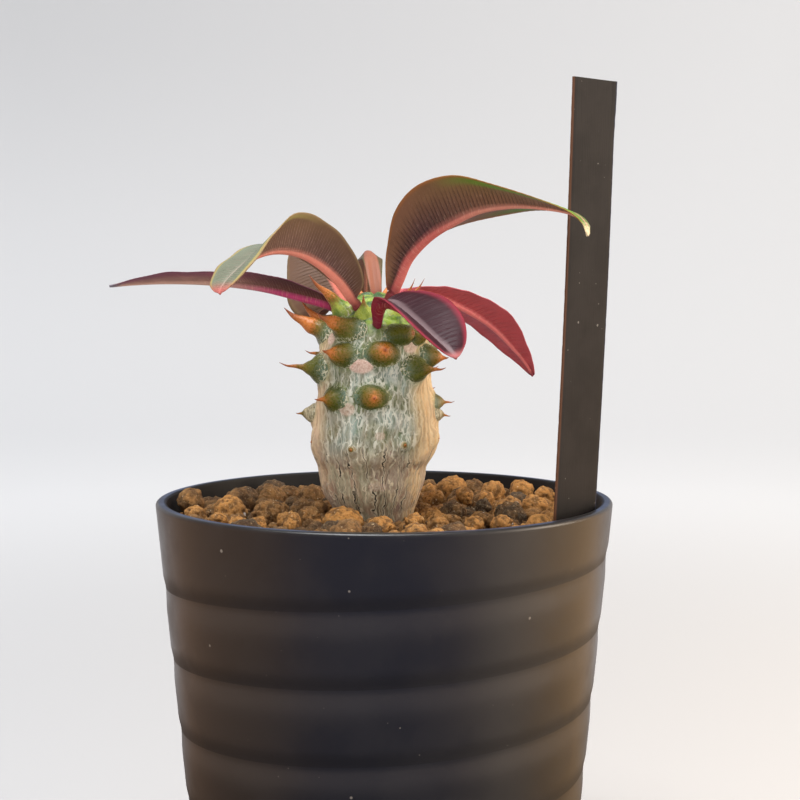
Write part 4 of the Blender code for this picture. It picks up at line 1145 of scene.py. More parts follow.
def hidden_cushions():
    """Rows like those of FRONT_CUSHIONS for the side away from the viewer."""
    rows = []
    feet = [Vector(leaf[0][0]) for leaf in LEAVES.values()]
    for number in range(FIRST_PLACE, LAST_GREEN_PLACE + 1):
        place, height = leaf_place(number)
        height = min(height + CUSHION_RISE, STEM_TOP - 0.6)
        radius = stem_at(height)[0]
        width, tall, reach, spine, lift = cushion_size(number)
        young = number < -4
        for side in (-1, 1):
            turn = math.remainder(place + side * min(CUSHION_SPREAD / radius, 0.62), TURN)
            angle = math.degrees(turn)
            base = stem_surface(turn, height)[0]
            room = min((base - foot).length for foot in feet) - 0.5 * width
            if abs(angle) > HIDDEN_FROM and room > LEAF_ROOM:
                rows.append((angle, height, width, tall, angle + 8 * side, 0.8 * lift, reach, spine,
                             lift, 0.8 if young else 0.35, 0.36 if young else 0.17))
    return rows


def pointing(heading, lift):
    """Direction from a heading, 0 towards the viewer, and a lift, both in degrees."""
    heading, lift = math.radians(heading), math.radians(lift)
    return Vector((math.sin(heading) * math.cos(lift), -math.cos(heading) * math.cos(lift),
                   math.sin(lift)))


def cushion_grid(row, rings, sides):
    """Points of one cushion and its spine, how far along each ring lies, and the inner side."""
    angle, height, width, tall, heading, lift, reach, spine, spine_lift, _, horn = row
    base, outward = stem_surface(math.radians(angle), height)
    across = Vector((0, 0, 1)).cross(outward).normalized()
    upright = outward.cross(across)
    lean = pointing(heading, lift) * reach
    way = pointing(heading, spine_lift) * spine
    apex = base + lean
    swell = outward * reach
    pointed = min(1.0, spine / 2.6)
    stations = ((*(base - outward * 1.8), 1.0), (*(base - outward * 0.4), 1.06),
                (*(base + swell * 0.14 + lean * 0.08), 0.98 - 0.05 * pointed),
                (*(base + swell * 0.18 + lean * 0.30), 0.84 - 0.14 * pointed),
                (*(base + swell * 0.12 + lean * 0.56), 0.64 - 0.20 * pointed + 0.2 * horn),
                (*(base + swell * 0.04 + lean * 0.82), 0.36 - 0.12 * pointed + 0.5 * horn),
                (*(apex + way * 0.06), horn), (*(apex + way * 0.34), 0.62 * horn),
                (*(apex + way * 0.68 - Vector((0, 0, 0.03 * spine))), 0.32 * horn),
                (*(apex + way + Vector((0, 0, 0.06 * spine))), 0.010))
    shares = np.linspace(0.0, 1.0, rings)
    track = through(stations, shares)
    heads = unit(np.gradient(track[:, :3], axis=0))
    turn = TURN * np.arange(sides) / sides
    free = smooth_step(shares, 0.30, 0.68)[:, None]
    side_axis = unit(np.cross((0.0, 0.0, 1.0), heads))
    side_axis = unit(np.array(across) * (1 - free) + side_axis * free)
    up_axis = unit(np.array(upright) * (1 - free) + unit(np.cross(heads, side_axis)) * free)
    tall_here = tall + (width - tall) * free[:, 0]
    half = 0.5 * track[:, 3, None]
    wide = width * half * np.cos(turn)
    high = tall_here[:, None] * half * np.sin(turn)
    grid = (track[:, None, :3] + side_axis[:, None] * wide[..., None]
            + up_axis[:, None] * high[..., None])
    outer_side = math.copysign(1.0, math.remainder(math.radians(heading - angle), TURN))
    inner = (grid - np.array(base)) @ (-outer_side * np.array(across)) / (0.5 * width)
    return grid, shares, inner


def bark_skin(settings):
    """Corky bark: pale threads over green and blue skin, with long dark cracks low down."""
    tree = Skin("bark")
    where = tree.place()
    speckle = tree.noise(where, 4.5, detail=5.0, roughness=0.7)
    wide = tree.mottling(where, 0.16, 0.42, 0.58)
    cord, crack, scar = tree.attribute("cord"), tree.attribute("crack"), tree.attribute("scar")
    leafy, waxy, warm = tree.attribute("leafy"), tree.attribute("waxy"), tree.attribute("warm")
    low, rosy, crown = tree.attribute("low"), tree.attribute("rosy"), tree.attribute("crown")

    lace = tree.shared("Line net", tree.place(1, 1, 0.40), Scale=0.95, Wander=1.2, Width=0.13)
    threads = tree.shared("Grain lines", where, Count=50, Wander=18, Wiggle=8.5, Width=0.44)
    strands = tree.shared("Grain lines", where, Count=84, Wander=26, Wiggle=9.0, Width=0.36)
    splits = tree.shared("Grain lines", where, Count=24, Wander=9, Wiggle=5.5, Width=0.22)
    patchy = tree.remap(tree.noise(where, 0.45, detail=2.0), 0.38, 0.54, 0.45, 1.0)
    torn = tree.remap(tree.noise(tree.place(1, 1, 0.35), 0.55, detail=2.0), 0.39, 0.50)
    laced = tree.times(lace["Lines"], tree.remap(waxy, 0.0, 1.0, 0.35, 0.8))
    laced = tree.calculate("MAXIMUM", laced, tree.times(threads["Lines"], 0.9))
    laced = tree.calculate("MAXIMUM", laced, tree.times(strands["Lines"], 0.35))
    laced = tree.times(laced, patchy)
    fibres = tree.noise(tree.place(1, 1, 0.16), 2.6, detail=4.0, roughness=0.6)
    # Painted warm light: the tan grows lighter and warmer towards the right.
    right = tree.remap(tree.split(where)[0], -3.0, 3.0)

    olive = tree.blend(tree.remap(speckle, 0.36, 0.64), paint(96, 100, 66), paint(138, 136, 98))
    wax = tree.blend(wide, paint(98, 112, 78), paint(146, 162, 150))
    tan = tree.blend(right, paint(206, 168, 138), paint(224, 180, 124))
    tan = tree.blend(tree.remap(fibres, 0.36, 0.64, 0.0, 0.7), tan, paint(226, 200, 158))
    grey = tree.blend(tree.remap(fibres, 0.36, 0.64), paint(166, 144, 118), paint(206, 188, 156))
    leaf_green = tree.blend(tree.remap(speckle, 0.35, 0.65), paint(74, 92, 38), paint(124, 142, 62))
    bright = tree.blend(tree.remap(tree.noise(where, 0.7, detail=4.0), 0.38, 0.66),
                        paint(38, 78, 28), paint(136, 162, 46))
    green_left = tree.times(low, tree.remap(wide, 0.45, 0.15, 0.0, 0.5))
    mauve = tree.times(low, tree.remap(wide, 0.6, 0.9, 0.0, 0.55))
    teal = tree.times(leafy, tree.remap(wide, 0.5, 0.8, 0.0, 0.55))
    skin = tree.coats(olive, (waxy, wax), (low, grey), (green_left, paint(126, 136, 112)),
                      (warm, tan), (tree.times(rosy, 0.7), paint(172, 128, 108)),
                      (mauve, paint(132, 108, 106)), (tree.times(leafy, 0.8), leaf_green),
                      (teal, paint(84, 122, 106)), (crown, bright))

    # On the tan sides the cork turns warmer: partly its own colour, partly painted warm light.
    cork = tree.blend(warm, settings.bark, paint(232, 208, 164))
    cork = tree.blend(low, cork, paint(222, 206, 174))
    free = tree.calculate("SUBTRACT", 1.0, warm)
    drawn = tree.times(laced, tree.remap(warm, 0.0, 1.0, 1.0, 0.75))
    drawn = tree.times(drawn, tree.remap(leafy, 0.2, 1.0, 0.95, 0.45))
    drawn = tree.times(drawn, tree.remap(crown, 0.0, 1.0, 1.0, 0.1))
    drawn = tree.calculate("MAXIMUM", drawn, tree.times(cord, 0.2))
    shade = tree.blend(low, paint(84, 90, 60), paint(136, 112, 88))
    shade = tree.blend(warm, shade, paint(166, 128, 92))
    beside = tree.times(tree.calculate("SUBTRACT", 1.0, threads["Beside"]), tree.times(torn, 0.75))
    beside = tree.times(beside, tree.remap(crown, 0.0, 1.0, 1.0, 0.0))
    lower = tree.remap(low, 0.0, 0.8, 0.12, 1.0)
    open_cracks = tree.times(tree.times(torn, lower), tree.remap(free, 0.0, 1.0, 0.45, 1.0))
    lip = tree.times(tree.times(splits["Beside"], open_cracks), 0.75)
    split = tree.times(splits["Lines"], open_cracks)
    split = tree.calculate("MAXIMUM", split, tree.times(crack, 0.3))
    disc = tree.blend(tree.remap(speckle, 0.4, 0.6), paint(206, 166, 146), paint(232, 206, 190))
    flecks = tree.times(tree.remap(speckle, 0.60, 0.72, 0.0, 0.25),
                        tree.calculate("SUBTRACT", 1.0, crown))
    colour = tree.coats(skin, (beside, shade), (drawn, cork), (lip, paint(228, 212, 182)),
                        (split, paint(66, 60, 48)), (scar, disc),
                        (flecks, paint(238, 234, 220)))
    smooth = tree.calculate("MAXIMUM", waxy, leafy)
    relief = tree.calculate("MULTIPLY_ADD", speckle, 0.35, drawn)
    relief = tree.calculate("SUBTRACT", relief, split)
    return tree.finish(colour, tree.remap(smooth, 0, 1, 0.74, 0.34), relief, 0.0002)


def cushion_skin(settings):
    """Waxy olive cushions that turn golden and then to the spine's rust; old ones corky."""
    tree = Skin("cushion")
    where = tree.place()
    along, rust, young = tree.attribute("along"), tree.attribute("rust"), tree.attribute("young")
    inner, corky = tree.attribute("inner"), tree.attribute("corky")
    patches = tree.mottling(where, 0.42)
    fine = tree.noise(where, 3.0, detail=5.0, roughness=0.65)
    fibres = tree.noise(tree.place(1, 1, 0.2), 4.5, detail=4.0, roughness=0.6)
    green = tree.blend(patches, paint(60, 72, 20), settings.cushion)
    # Blue-green on the side facing the pair's other cushion: partly the waxy skin's own colour, partly
    # a painted sheen.
    wax_and_painted_sheen = tree.times(tree.remap(inner, 0.3, 0.9), tree.remap(fine, 0.42, 0.56, 0.1, 0.6))
    green = tree.blend(wax_and_painted_sheen, green, paint(98, 130, 118))
    bright = tree.blend(patches, paint(92, 122, 40), paint(176, 188, 78))
    green = tree.blend(tree.times(young, 0.85), green, bright)
    drift = tree.stir(along, fine, 0.5)
    start = tree.calculate("MULTIPLY_ADD", rust, -0.30, 0.82)
    ripe = tree.calculate("SUBTRACT", drift, start)
    bark = tree.blend(tree.remap(fibres, 0.40, 0.60), paint(140, 126, 98), paint(214, 198, 164))
    covered = tree.times(corky, tree.remap(along, 0.66, 0.50))
    lace = tree.shared("Line net", tree.place(1, 1, 0.5), Scale=1.5, Wander=0.8, Width=0.09)
    foot = tree.remap(tree.stir(along, fine, 0.6), 0.30, 0.16)
    colour = tree.coats(green, (tree.remap(ripe, -0.30, -0.02), paint(124, 94, 26)),
                        (tree.remap(ripe, -0.08, 0.12), settings.spine),
                        (tree.remap(along, 0.72, 0.98, 0, 0.75), paint(120, 60, 46)),
                        (covered, bark), (tree.times(foot, 0.3), paint(126, 132, 92)),
                        (tree.times(foot, lace["Lines"]), paint(210, 204, 176)),
                        (tree.remap(fine, 0.60, 0.72, 0, 0.22), paint(190, 172, 96)))
    rough = tree.calculate("MULTIPLY_ADD", corky, 0.35, tree.remap(fine, 0.3, 0.7, 0.22, 0.40))
    return tree.finish(colour, rough, fine, 0.00014)


def trunk_grid(columns, rows):
    """Points of the bare trunk by height and turn, with the way out of it at each."""
    table = list(STEM_PROFILE[2:]) + [(STEM_TOP, 0.02, STEM_PROFILE[-1][2])]
    fine = through(table, np.linspace(0.0, 1.0, 2000))
    length = np.concatenate([[0.0], np.cumsum(np.hypot(*np.diff(fine[:, :2], axis=0).T))])
    spaced = np.linspace(0.0, length[-1], rows)
    height, radius, axis_x = (np.interp(spaced, length, fine[:, key]) for key in range(3))
    even = TURN * np.arange(columns) / columns - math.pi
    turn = even - 0.3 * np.sin(even)
    lean = unit(np.stack([np.gradient(radius), np.gradient(height)], axis=-1))
    sine, cosine = np.sin(turn), np.cos(turn)
    normal = np.stack([np.outer(lean[:, 1], sine), -np.outer(lean[:, 1], cosine),
                       np.outer(-lean[:, 0], np.ones(columns))], axis=-1)
    base = np.stack([axis_x[:, None] + np.outer(radius, sine), -np.outer(radius, cosine),
                     np.repeat(height[:, None], columns, 1)], axis=-1)
    ends = smooth_step(spaced, 0.0, 1.5) * (1 - smooth_step(spaced, length[-1] - 1.2, length[-1]))
    return base, normal, turn, radius, ends


def away_from(angle, at, width, tall, turn, radius, level):
    """Distance from a spot on the trunk, as a share of its half width and half height."""
    around = np.remainder(turn - math.radians(angle) + math.pi, TURN) - math.pi
    side = around[None, :] * np.maximum(radius, 2.0)[:, None]
    return np.hypot(side / (0.5 * width), (level - at) / (0.5 * tall)), side


def build_trunk(settings):
    """The trunk as one fine skin, with cords, cracks, scars and swellings by formula."""
    rows, columns = 226, settings.columns
    base, normal, turn, radius, ends = trunk_grid(columns, rows)
    level = base[..., 2]

    swell, green, shove = (np.zeros(level.shape) for _ in range(3))
    for angle, at, width, tall, *_ in (*FRONT_CUSHIONS, *hidden_cushions()):
        away, side = away_from(angle, at, width, tall, turn, radius, level)
        young = float(smooth_step(at, 12.0, 17.0))
        swell = np.maximum(swell, (0.45 + 0.45 * young) * np.exp(-(away / 1.25) ** 3))
        green = np.maximum(green, (1.0 - smooth_step(away, 0.9, 1.35)) * (0.25 + 0.75 * young))
        shove += np.sign(side) * np.minimum(np.abs(side), 1.0) * np.exp(-(away / 1.4) ** 2)
    scar = np.zeros(level.shape)
    hidden_scars = [(math.degrees(turn_here), height, 2.4, 1.9, 0.6)
                    for turn_here, height in map(leaf_place, range(-6, LAST_PLACE))
                    if abs(math.degrees(turn_here)) > HIDDEN_FROM]
    for angle, at, width, tall, strength in (*FRONT_SCARS, *hidden_scars):
        away, _ = away_from(angle, at, width, tall, turn, radius, level)
        ragged = away + 0.25 * (1.0 - strength) * noise_over(base, 1.4, 21)
        scar = np.maximum(scar, strength * (1.0 - smooth_step(ragged, 0.82, 1.04)))

    wander = 0.55 * noise_over(base, (0.25, 0.25, 0.42), 4) + 0.22 * noise_over(base, 1.0, 5)
    bend = turn[None, :] + (wander - 1.1 * shove) / np.maximum(radius, 4.0)[:, None]
    flow = np.stack([10.0 * np.sin(bend), 10.0 * np.cos(bend), level], axis=-1)
    sides = np.repeat(smooth_step(np.abs(turn + 0.10), 0.60, 1.15)[None, :], rows, 0)
    low = 1.0 - smooth_step(level + 4.5 * noise_over(base, 0.22, 6), 3.0, 13.0)
    crown = smooth_step(level, 26.0, 29.0)

    cords = noise_over(flow, (0.55, 0.55, 0.075), 7)
    threads = noise_over(flow, (1.25, 1.25, 0.20), 8)
    splits = noise_over(flow, (0.36, 0.36, 0.085), 15)
    lace = noise_over(flow, (0.80, 0.80, 0.50), 16)
    broken = smooth_step(noise_over(base, 0.42, 9), -0.12, 0.10)
    bare = (1.0 - green) * (1.0 - scar)
    cord = np.maximum(line_mask(cords, 0.07, 0.10), 0.75 * line_mask(threads, 0.06, 0.12))
    cord = np.maximum(cord, 0.8 * low * line_mask(np.abs(splits) - 0.085, 0.02, 0.04) * broken)
    cord = np.maximum(cord, 0.6 * line_mask(lace, 0.03, 0.07) * (1.0 - broken))
    cord *= bare * (1.0 - 0.7 * crown)
    crack = line_mask(splits, 0.018, 0.035) * broken * (0.25 + 0.75 * low)
    crack = np.maximum(crack, 0.7 * line_mask(lace, 0.014, 0.03) * low * (1.0 - broken))
    crack *= bare * (1.0 - 0.6 * sides) * (1.0 - crown)
    waxy = (1.0 - sides) * (1.0 - low) * smooth_step(noise_over(base, 0.26, 22), -0.35, 0.10)
    # The sides turn tan: partly the bark's own colour, partly painted warm light.
    warm = np.maximum(sides * (1.0 - crown), 0.0)
    rosy = smooth_step(noise_over(flow, (0.42, 0.42, 0.16), 23), 0.16, 0.40) * (0.35 + 0.65 * low)
    leafy = np.maximum(green * (0.2 + 0.5 * smooth_step(level, 6.0, 20.0)), crown)

    lumps = 0.30 * noise_over(base, 0.28, 10) + 0.14 * noise_over(base, (0.8, 0.8, 0.35), 11)
    folds = 0.13 * noise_over(flow, (0.85, 0.85, 0.10), 12) * sides
    rise = swell + lumps + folds + 0.11 * cord - settings.crack_depth / MM * crack + 0.10 * scar
    points = base + normal * (rise * ends[:, None])[..., None]

    faces = grid_faces(rows, columns, wrap=True)
    faces += [cap(columns, flip=True), cap(columns, rows - 1)]
    trunk = make_piece("stem_bark", points, faces, bark_skin(settings),
                       {"crack": crack, "cord": cord, "leafy": leafy, "scar": scar, "warm": warm,
                        "waxy": waxy, "low": low, "rosy": rosy, "crown": crown})
    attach(trunk, "root")
    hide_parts("stem")


def build_cushions(settings):
    """All cushions with their spines, as one piece."""
    rings, sides = 42, 24
    points, faces = [], []
    worn = {key: [] for key in ("along", "rust", "young", "inner", "corky")}
    count = rings * sides
    for number, row in enumerate((*FRONT_CUSHIONS, *hidden_cushions())):
        grid, shares, turned_in = cushion_grid(row, rings, sides)
        middle = grid.mean(axis=1, keepdims=True)
        wrinkles = 0.16 * noise_over(grid, 0.7, 20 + number % 5) + 0.05 * noise_over(grid, 2.2, 3)
        amount = wrinkles * (1 - smooth_step(shares, 0.4, 0.62))[:, None]
        grid = grid + unit(grid - middle) * amount[..., None]
        start = number * count
        points.append(grid.reshape(-1, 3))
        faces += grid_faces(rings, sides, wrap=True, start=start)
        faces += [cap(sides, start=start, flip=True), cap(sides, rings - 1, start)]
        height = row[1]
        for key, value in (("along", np.repeat(shares, sides)), ("rust", row[9]),
                           ("young", smooth_step(height, 28.8, 29.8)),
                           ("inner", turned_in.ravel()),
                           ("corky", 1.0 - smooth_step(height, 12.5, 17.0))):
            worn[key].append(np.broadcast_to(value, count))
    piece = make_piece("stem_cushions", np.concatenate(points), faces, cushion_skin(settings),
                       {key: np.concatenate(values) for key, values in worn.items()},
                       recalculate=True)
    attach(piece, "root")


# Leaves

def seat_on_stem(spot):
    """The place on the trunk nearest to a leaf's first point, and the way out of it."""
    best = None
    for step in range(130):
        height = 20.0 + 0.1 * step
        turn = math.atan2(spot.x - stem_at(height)[1], -spot.y)
        point, outward = stem_surface(turn, height)
        distance = (point - spot).length
        if best is None or distance < best[0]:
            best = distance, point, outward
    return best[1:]


def leaf_skin(name, gloss):
    """A leaf: midrib, blade and margin above and below, with side veins and down."""
    tints = LEAF_COLOURS[name]
    far_tints = tints.get("under_far", tints["under"])
    tree = Skin(name + "_skin")
    where = tree.place()
    along, across = tree.attribute("along"), tree.attribute("across")
    share, edge = tree.attribute("share"), tree.attribute("edge")
    upper, rib, strip = tree.attribute("upper"), tree.attribute("rib"), tree.attribute("strip")
    wide = tree.calculate("ABSOLUTE", across)
    slanted = tree.calculate("MULTIPLY_ADD", wide, -0.30, along)
    vein_place = tree.join(slanted, tree.times(wide, 0.16), tree.times(upper, 7.0))
    drift = tree.noise(vein_place, 0.7, detail=2.0)
    hairs = tree.noise(vein_place, 6.0, detail=2.0, roughness=0.6)
    patches = tree.mottling(where, 0.22)
    turns = tree.calculate("MULTIPLY_ADD", slanted, TURN / tints["spacing"], tree.times(drift, 7.0))
    lines = tree.remap(tree.calculate("SINE", turns), 0.45, 0.95)
    near = tree.remap(edge, 0.95, 0.25)
    plain = tree.calculate("SUBTRACT", 1.0, tree.calculate("MAXIMUM", rib, strip))
    lines = tree.times(tree.times(lines, near),
                       tree.times(plain, tree.remap(hairs, 0.36, 0.60, 0.35, 1.0)))
    far = tree.remap(share, 0.42, 0.62)
    outward = tree.remap(edge, 0.12, 0.75)
    under = tree.blend(far, tree.blend(outward, *tints["under"][:2]),
                       tree.blend(outward, *far_tints[:2]))
    dull = tuple(0.62 * value for value in tints["under"][1])
    down = tree.times(tree.remap(hairs, 0.58, 0.72), tree.remap(edge, 0.6, 0.1, 0.1, 0.4))
    under = tree.coats(under, (tree.remap(patches, 0, 1, 0, 0.3), dull),
                       (tree.times(lines, 0.45), tints["vein"]), (down, paint(206, 176, 156)))
    dull = tuple(0.66 * value for value in tints["over"][0])
    over = tree.coats(tints["over"][0], (tree.remap(patches, 0.0, 1.0, 0.0, 0.35), dull),
                      (tree.times(lines, 0.35), tints["vein"]))
    rib_under = tree.coats(tints["under"][2], (far, far_tints[2]),
                           (tree.remap(hairs, 0.5, 0.7, 0.0, 0.3), paint(236, 178, 156)))
    colour = tree.coats(tree.blend(upper, under, over),
                        (rib, tree.blend(upper, rib_under, tints["over"][1])),
                        (strip, tints["over"][1]))
    if "fold" in tints:
        start = tints.get("fold_from", 0.62)
        fold = tree.times(tree.remap(edge, start, 0.5 + 0.5 * start),
                          tree.remap(share, 0.52, 0.66))
        colour = tree.blend(fold, colour, tints["fold"])
    rim = tree.remap(edge, tints.get("rim_from", 0.88), 0.99, 0.0, 0.8)
    colour = tree.coats(colour, (rim, tints["margin"]),
                        (tree.remap(share, 0.90, 0.98), tints["tip"]),
                        (tree.remap(along, 4.0, 0.8, 0.0, 0.8), paint(118, 34, 56)))
    relief = tree.calculate("MULTIPLY_ADD", hairs, 0.4, lines)
    smooth = gloss < 0.5
    return tree.finish(colour, gloss, relief, 0.00005 if smooth else 0.00014,
                       0.12 if smooth else 0.3)


def leaf_halves(track, side, up, rib_half, taper):
    """Both halves of a leaf's middle layer: points, distance from the midrib, and its share."""
    inner = np.array([0.0, 0.3, 0.6, 0.85, 1.0])
    outer = np.linspace(0.0, 1.0, 15)[1:] ** 0.9
    layers = {key: [] for key in ("middle", "across", "edge")}
    for sign in (-1, 1):
        half = np.maximum(track[:, 3] if sign < 0 else track[:, 5], 0.35)
        lift = np.radians(track[:, 4] if sign < 0 else track[:, 6])
        half = np.maximum(half, 1.02 * rib_half) * taper
        core = np.minimum(rib_half * taper, 0.98 * half)
        reach = np.concatenate([core[:, None] * inner, core[:, None] + (half - core)[:, None] * outer],
                               axis=1)
        part = reach / half[:, None]
        bow = LEAF_CAMBER * half[:, None] * 4.0 * part * (1.0 - part)
        ramp = np.sqrt(reach ** 2 + SOFT_FOLD ** 2) - SOFT_FOLD * (1.0 - part)
        wave = 0.06 * np.sin(track[:, :1] * 1.1 + track[:, 1:2] * 0.9 + sign) * part ** 3
        spot = (track[:, None, :3] + side[:, None] * (sign * reach * np.cos(lift)[:, None])[..., None]
                + up[:, None] * (ramp * np.sin(lift)[:, None] + bow + wave)[..., None])
        order = slice(None, 0, -1) if sign < 0 else slice(None)
        layers["middle"].append(spot[:, order])
        layers["across"].append((sign * reach)[:, order])
        layers["edge"].append(part[:, order])
    return (np.concatenate(layers[key], axis=1) for key in layers)


def rim_faces(rows, columns):
    """Faces round the rim of a sheet, between its upper and its lower layer."""
    size = rows * columns
    border = list(range(columns))
    border += [row * columns + columns - 1 for row in range(1, rows)]
    border += [(rows - 1) * columns + column for column in range(columns - 2, -1, -1)]
    border += [row * columns for row in range(rows - 2, 0, -1)]
    return [[first, size + first, size + second, second]
            for first, second in zip(border, border[1:] + border[:1])]


def build_leaf(name, rows, settings, gloss):
    """A blade with a raised midrib below and a groove above, on a round stalk."""
    seat, outward = seat_on_stem(Vector(rows[0][0]))
    stalk = rows[0][1:]
    rows = [(seat + outward * CLEARANCE, *stalk), (seat + outward * (CLEARANCE + STALK_LENGTH), *stalk),
            *rows[1:]]
    table = [(*spot, *left, *right) for spot, left, right in rows]
    count = settings.stations
    shares = np.linspace(0.0, 1.0, count)
    track = through(table, shares)
    line = track[:, :3]
    heading = np.array(rows[-1][0]) - np.array(rows[0][0])
    aside = unit(np.array([heading[1], -heading[0], 0.0]))
    ahead = unit(through(table, shares + 0.02)[:, :3] - through(table, shares - 0.02)[:, :3])
    side = unit(aside - ahead * (ahead @ aside)[:, None])
    up = np.cross(side, ahead)
    rib_half = 0.82 - 0.60 * smooth_step(shares, 0.0, 1.0)
    rib_deep = 0.95 - 0.80 * smooth_step(shares, 0.0, 1.0)
    taper = np.minimum(1.0, (1.0 - shares) / 0.03 + 0.12)
    middle, across, edge = leaf_halves(track, side, up, rib_half, taper)
    columns = middle.shape[1]
    normal = unit(np.cross(np.gradient(middle, axis=1), np.gradient(middle, axis=0)))
    half_thick = 0.5 * settings.thickness / MM * (1.0 - 0.55 * edge ** 3)
    inside = np.clip(1.0 - (across / (rib_half * taper)[:, None]) ** 2, 0.0, 1.0) ** 0.5
    stalky = 1.0 - smooth_step(shares, 0.0, 0.16)
    over = half_thick + inside * (0.32 * stalky - 0.14 * (1 - stalky) * (1 - shares))[:, None]
    under = half_thick + inside * (rib_deep * (0.55 + 0.45 * taper))[:, None]
    travelled = np.concatenate([[0.0], np.cumsum(np.linalg.norm(np.diff(line, axis=0), axis=1))])
    veins = 0.016 * np.sin((travelled[:, None] - 0.3 * np.abs(across)) * TURN
                           / (2.0 * LEAF_COLOURS[name]["spacing"])) * (1 - inside)
    top = middle + normal * (over - veins)[..., None]
    low = middle - normal * (under + veins)[..., None]
    points = np.concatenate([top.reshape(-1, 3), low.reshape(-1, 3)])
    size = count * columns
    faces = grid_faces(count, columns) + grid_faces(count, columns, start=size, flip=True)
    faces += rim_faces(count, columns)
    rib = smooth_step(np.abs(across) / (rib_half * taper)[:, None], 1.12, 0.86)
    band = LEAF_COLOURS[name].get("strip", 0.0) * (1.0 - 0.65 * shares)[:, None]
    strip = smooth_step(np.abs(across), band + 0.12, band - 0.12) if band[0, 0] else 0.0 * across
    piece = make_piece(name + "_blade", points, faces, leaf_skin(name, gloss),
                       {"along": np.tile(np.repeat(travelled, columns), 2),
                        "across": np.tile(across.ravel(), 2),
                        "share": np.tile(np.repeat(shares, columns), 2),
                        "edge": np.tile(edge.ravel(), 2), "rib": np.tile(rib.ravel(), 2),
                        "strip": np.concatenate([strip.ravel(), np.zeros(size)]),
                        "upper": np.repeat([1.0, 0.0], size)}, recalculate=True)
    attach(piece, "root")
    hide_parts(name)


# Label

def label_plastic(settings):
    """Matt black plastic with fine lint, and painted highlights along the cut edges: warm along one and
    blue along the other.
    """
    tree = Skin("label_plastic")
    where = tree.place()
    patches = tree.mottling(where, 0.1)
    brushed = tree.noise(tree.place(3.0, 3.0, 0.08), 1.5, detail=3.0)
    specks = tree.calculate("MAXIMUM", tree.dust(where, 0.6, 0.12, 0.2),
                            tree.dust(where, 1.7, 0.08, 0.2))
    border = tree.attribute("border")
    colour = tree.coats(settings.plastic,
                        (tree.remap(patches, 0, 1, 0, 0.3), paint(52, 47, 44)),
                        (tree.times(specks, 0.5), paint(150, 142, 134)),
                        # Painted highlights on the cut edges: warm on one, blue on the other.
                        (tree.remap(border, 0.2, 1.0, 0.0, 0.6), paint(112, 72, 50)),
                        (tree.remap(border, -0.2, -1.0, 0.0, 0.6), paint(52, 60, 84)))
    return tree.finish(colour, 0.6, brushed, 0.00003, 0.12)


def build_label(settings):
    """A hand-cut strip, a little twisted, with rounded edges and a curled corner."""
    foot, head = LABEL_FEET, LABEL_HEADS
    heights = np.concatenate([np.linspace(-LABEL_DEPTH, -1.0, 30), np.linspace(-0.5, LABEL_TOP, 150)])
    half = 0.5 * LABEL_THICKNESS
    inset = 0.12
    lanes = np.concatenate([[-1.0], np.linspace(-1.0, 1.0, 22), [1.0]])
    section = [(place, -half) for place in lanes[1:-1]] + [(place, half) for place in lanes[-2:0:-1]]
    points, border = [], []
    for level in heights:
        share = level / LABEL_TOP
        left, right = (np.array(low.lerp(high, share)) for low, high in zip(foot, head))
        middle, strip = 0.5 * (left + right), right - left
        length = np.linalg.norm(strip)
        wide = np.interp(level, [-LABEL_DEPTH, -1.0], [LABEL_TIP_WIDTH, length])
        along = np.array([*(strip / length), 0.0])
        out = np.array([along[1], -along[0], 0.0])
        bend = settings.bow / MM * math.sin(math.pi * min(max(share, 0.0), 1.0))
        for place, depth in section:
            rounded = half - inset if abs(place) > 0.99 else half
            curl = 0.25 * smooth_step(place, 0.8, 1.0) * smooth_step(level, 56.0, 65.0)
            nicks = 0.05 * noise.noise((level * 0.9, place * 7.0, 2.0)) * (abs(place) > 0.99)
            aside = along * (0.5 * wide * place + nicks)
            deep = out * (math.copysign(rounded, depth) + curl + bend)
            points.append(np.array([*middle, level]) + aside + deep)
            border.append(math.copysign(float(abs(place) > 0.96), -place))
    around = len(section)
    faces = grid_faces(len(heights), around, wrap=True)
    faces += [cap(around), cap(around, len(heights) - 1)]
    label = make_piece("label_strip", points, faces, label_plastic(settings),
                       {"border": border}, recalculate=True)
    label.data.set_sharp_from_angle(angle=math.radians(45.0))
    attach(label, "root")
    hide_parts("label")


# Stage

CAMERA_PLACE = (2.57, -246.5, 34.55)
CAMERA_PITCH = 4.29
CAMERA_LENS = 67.5


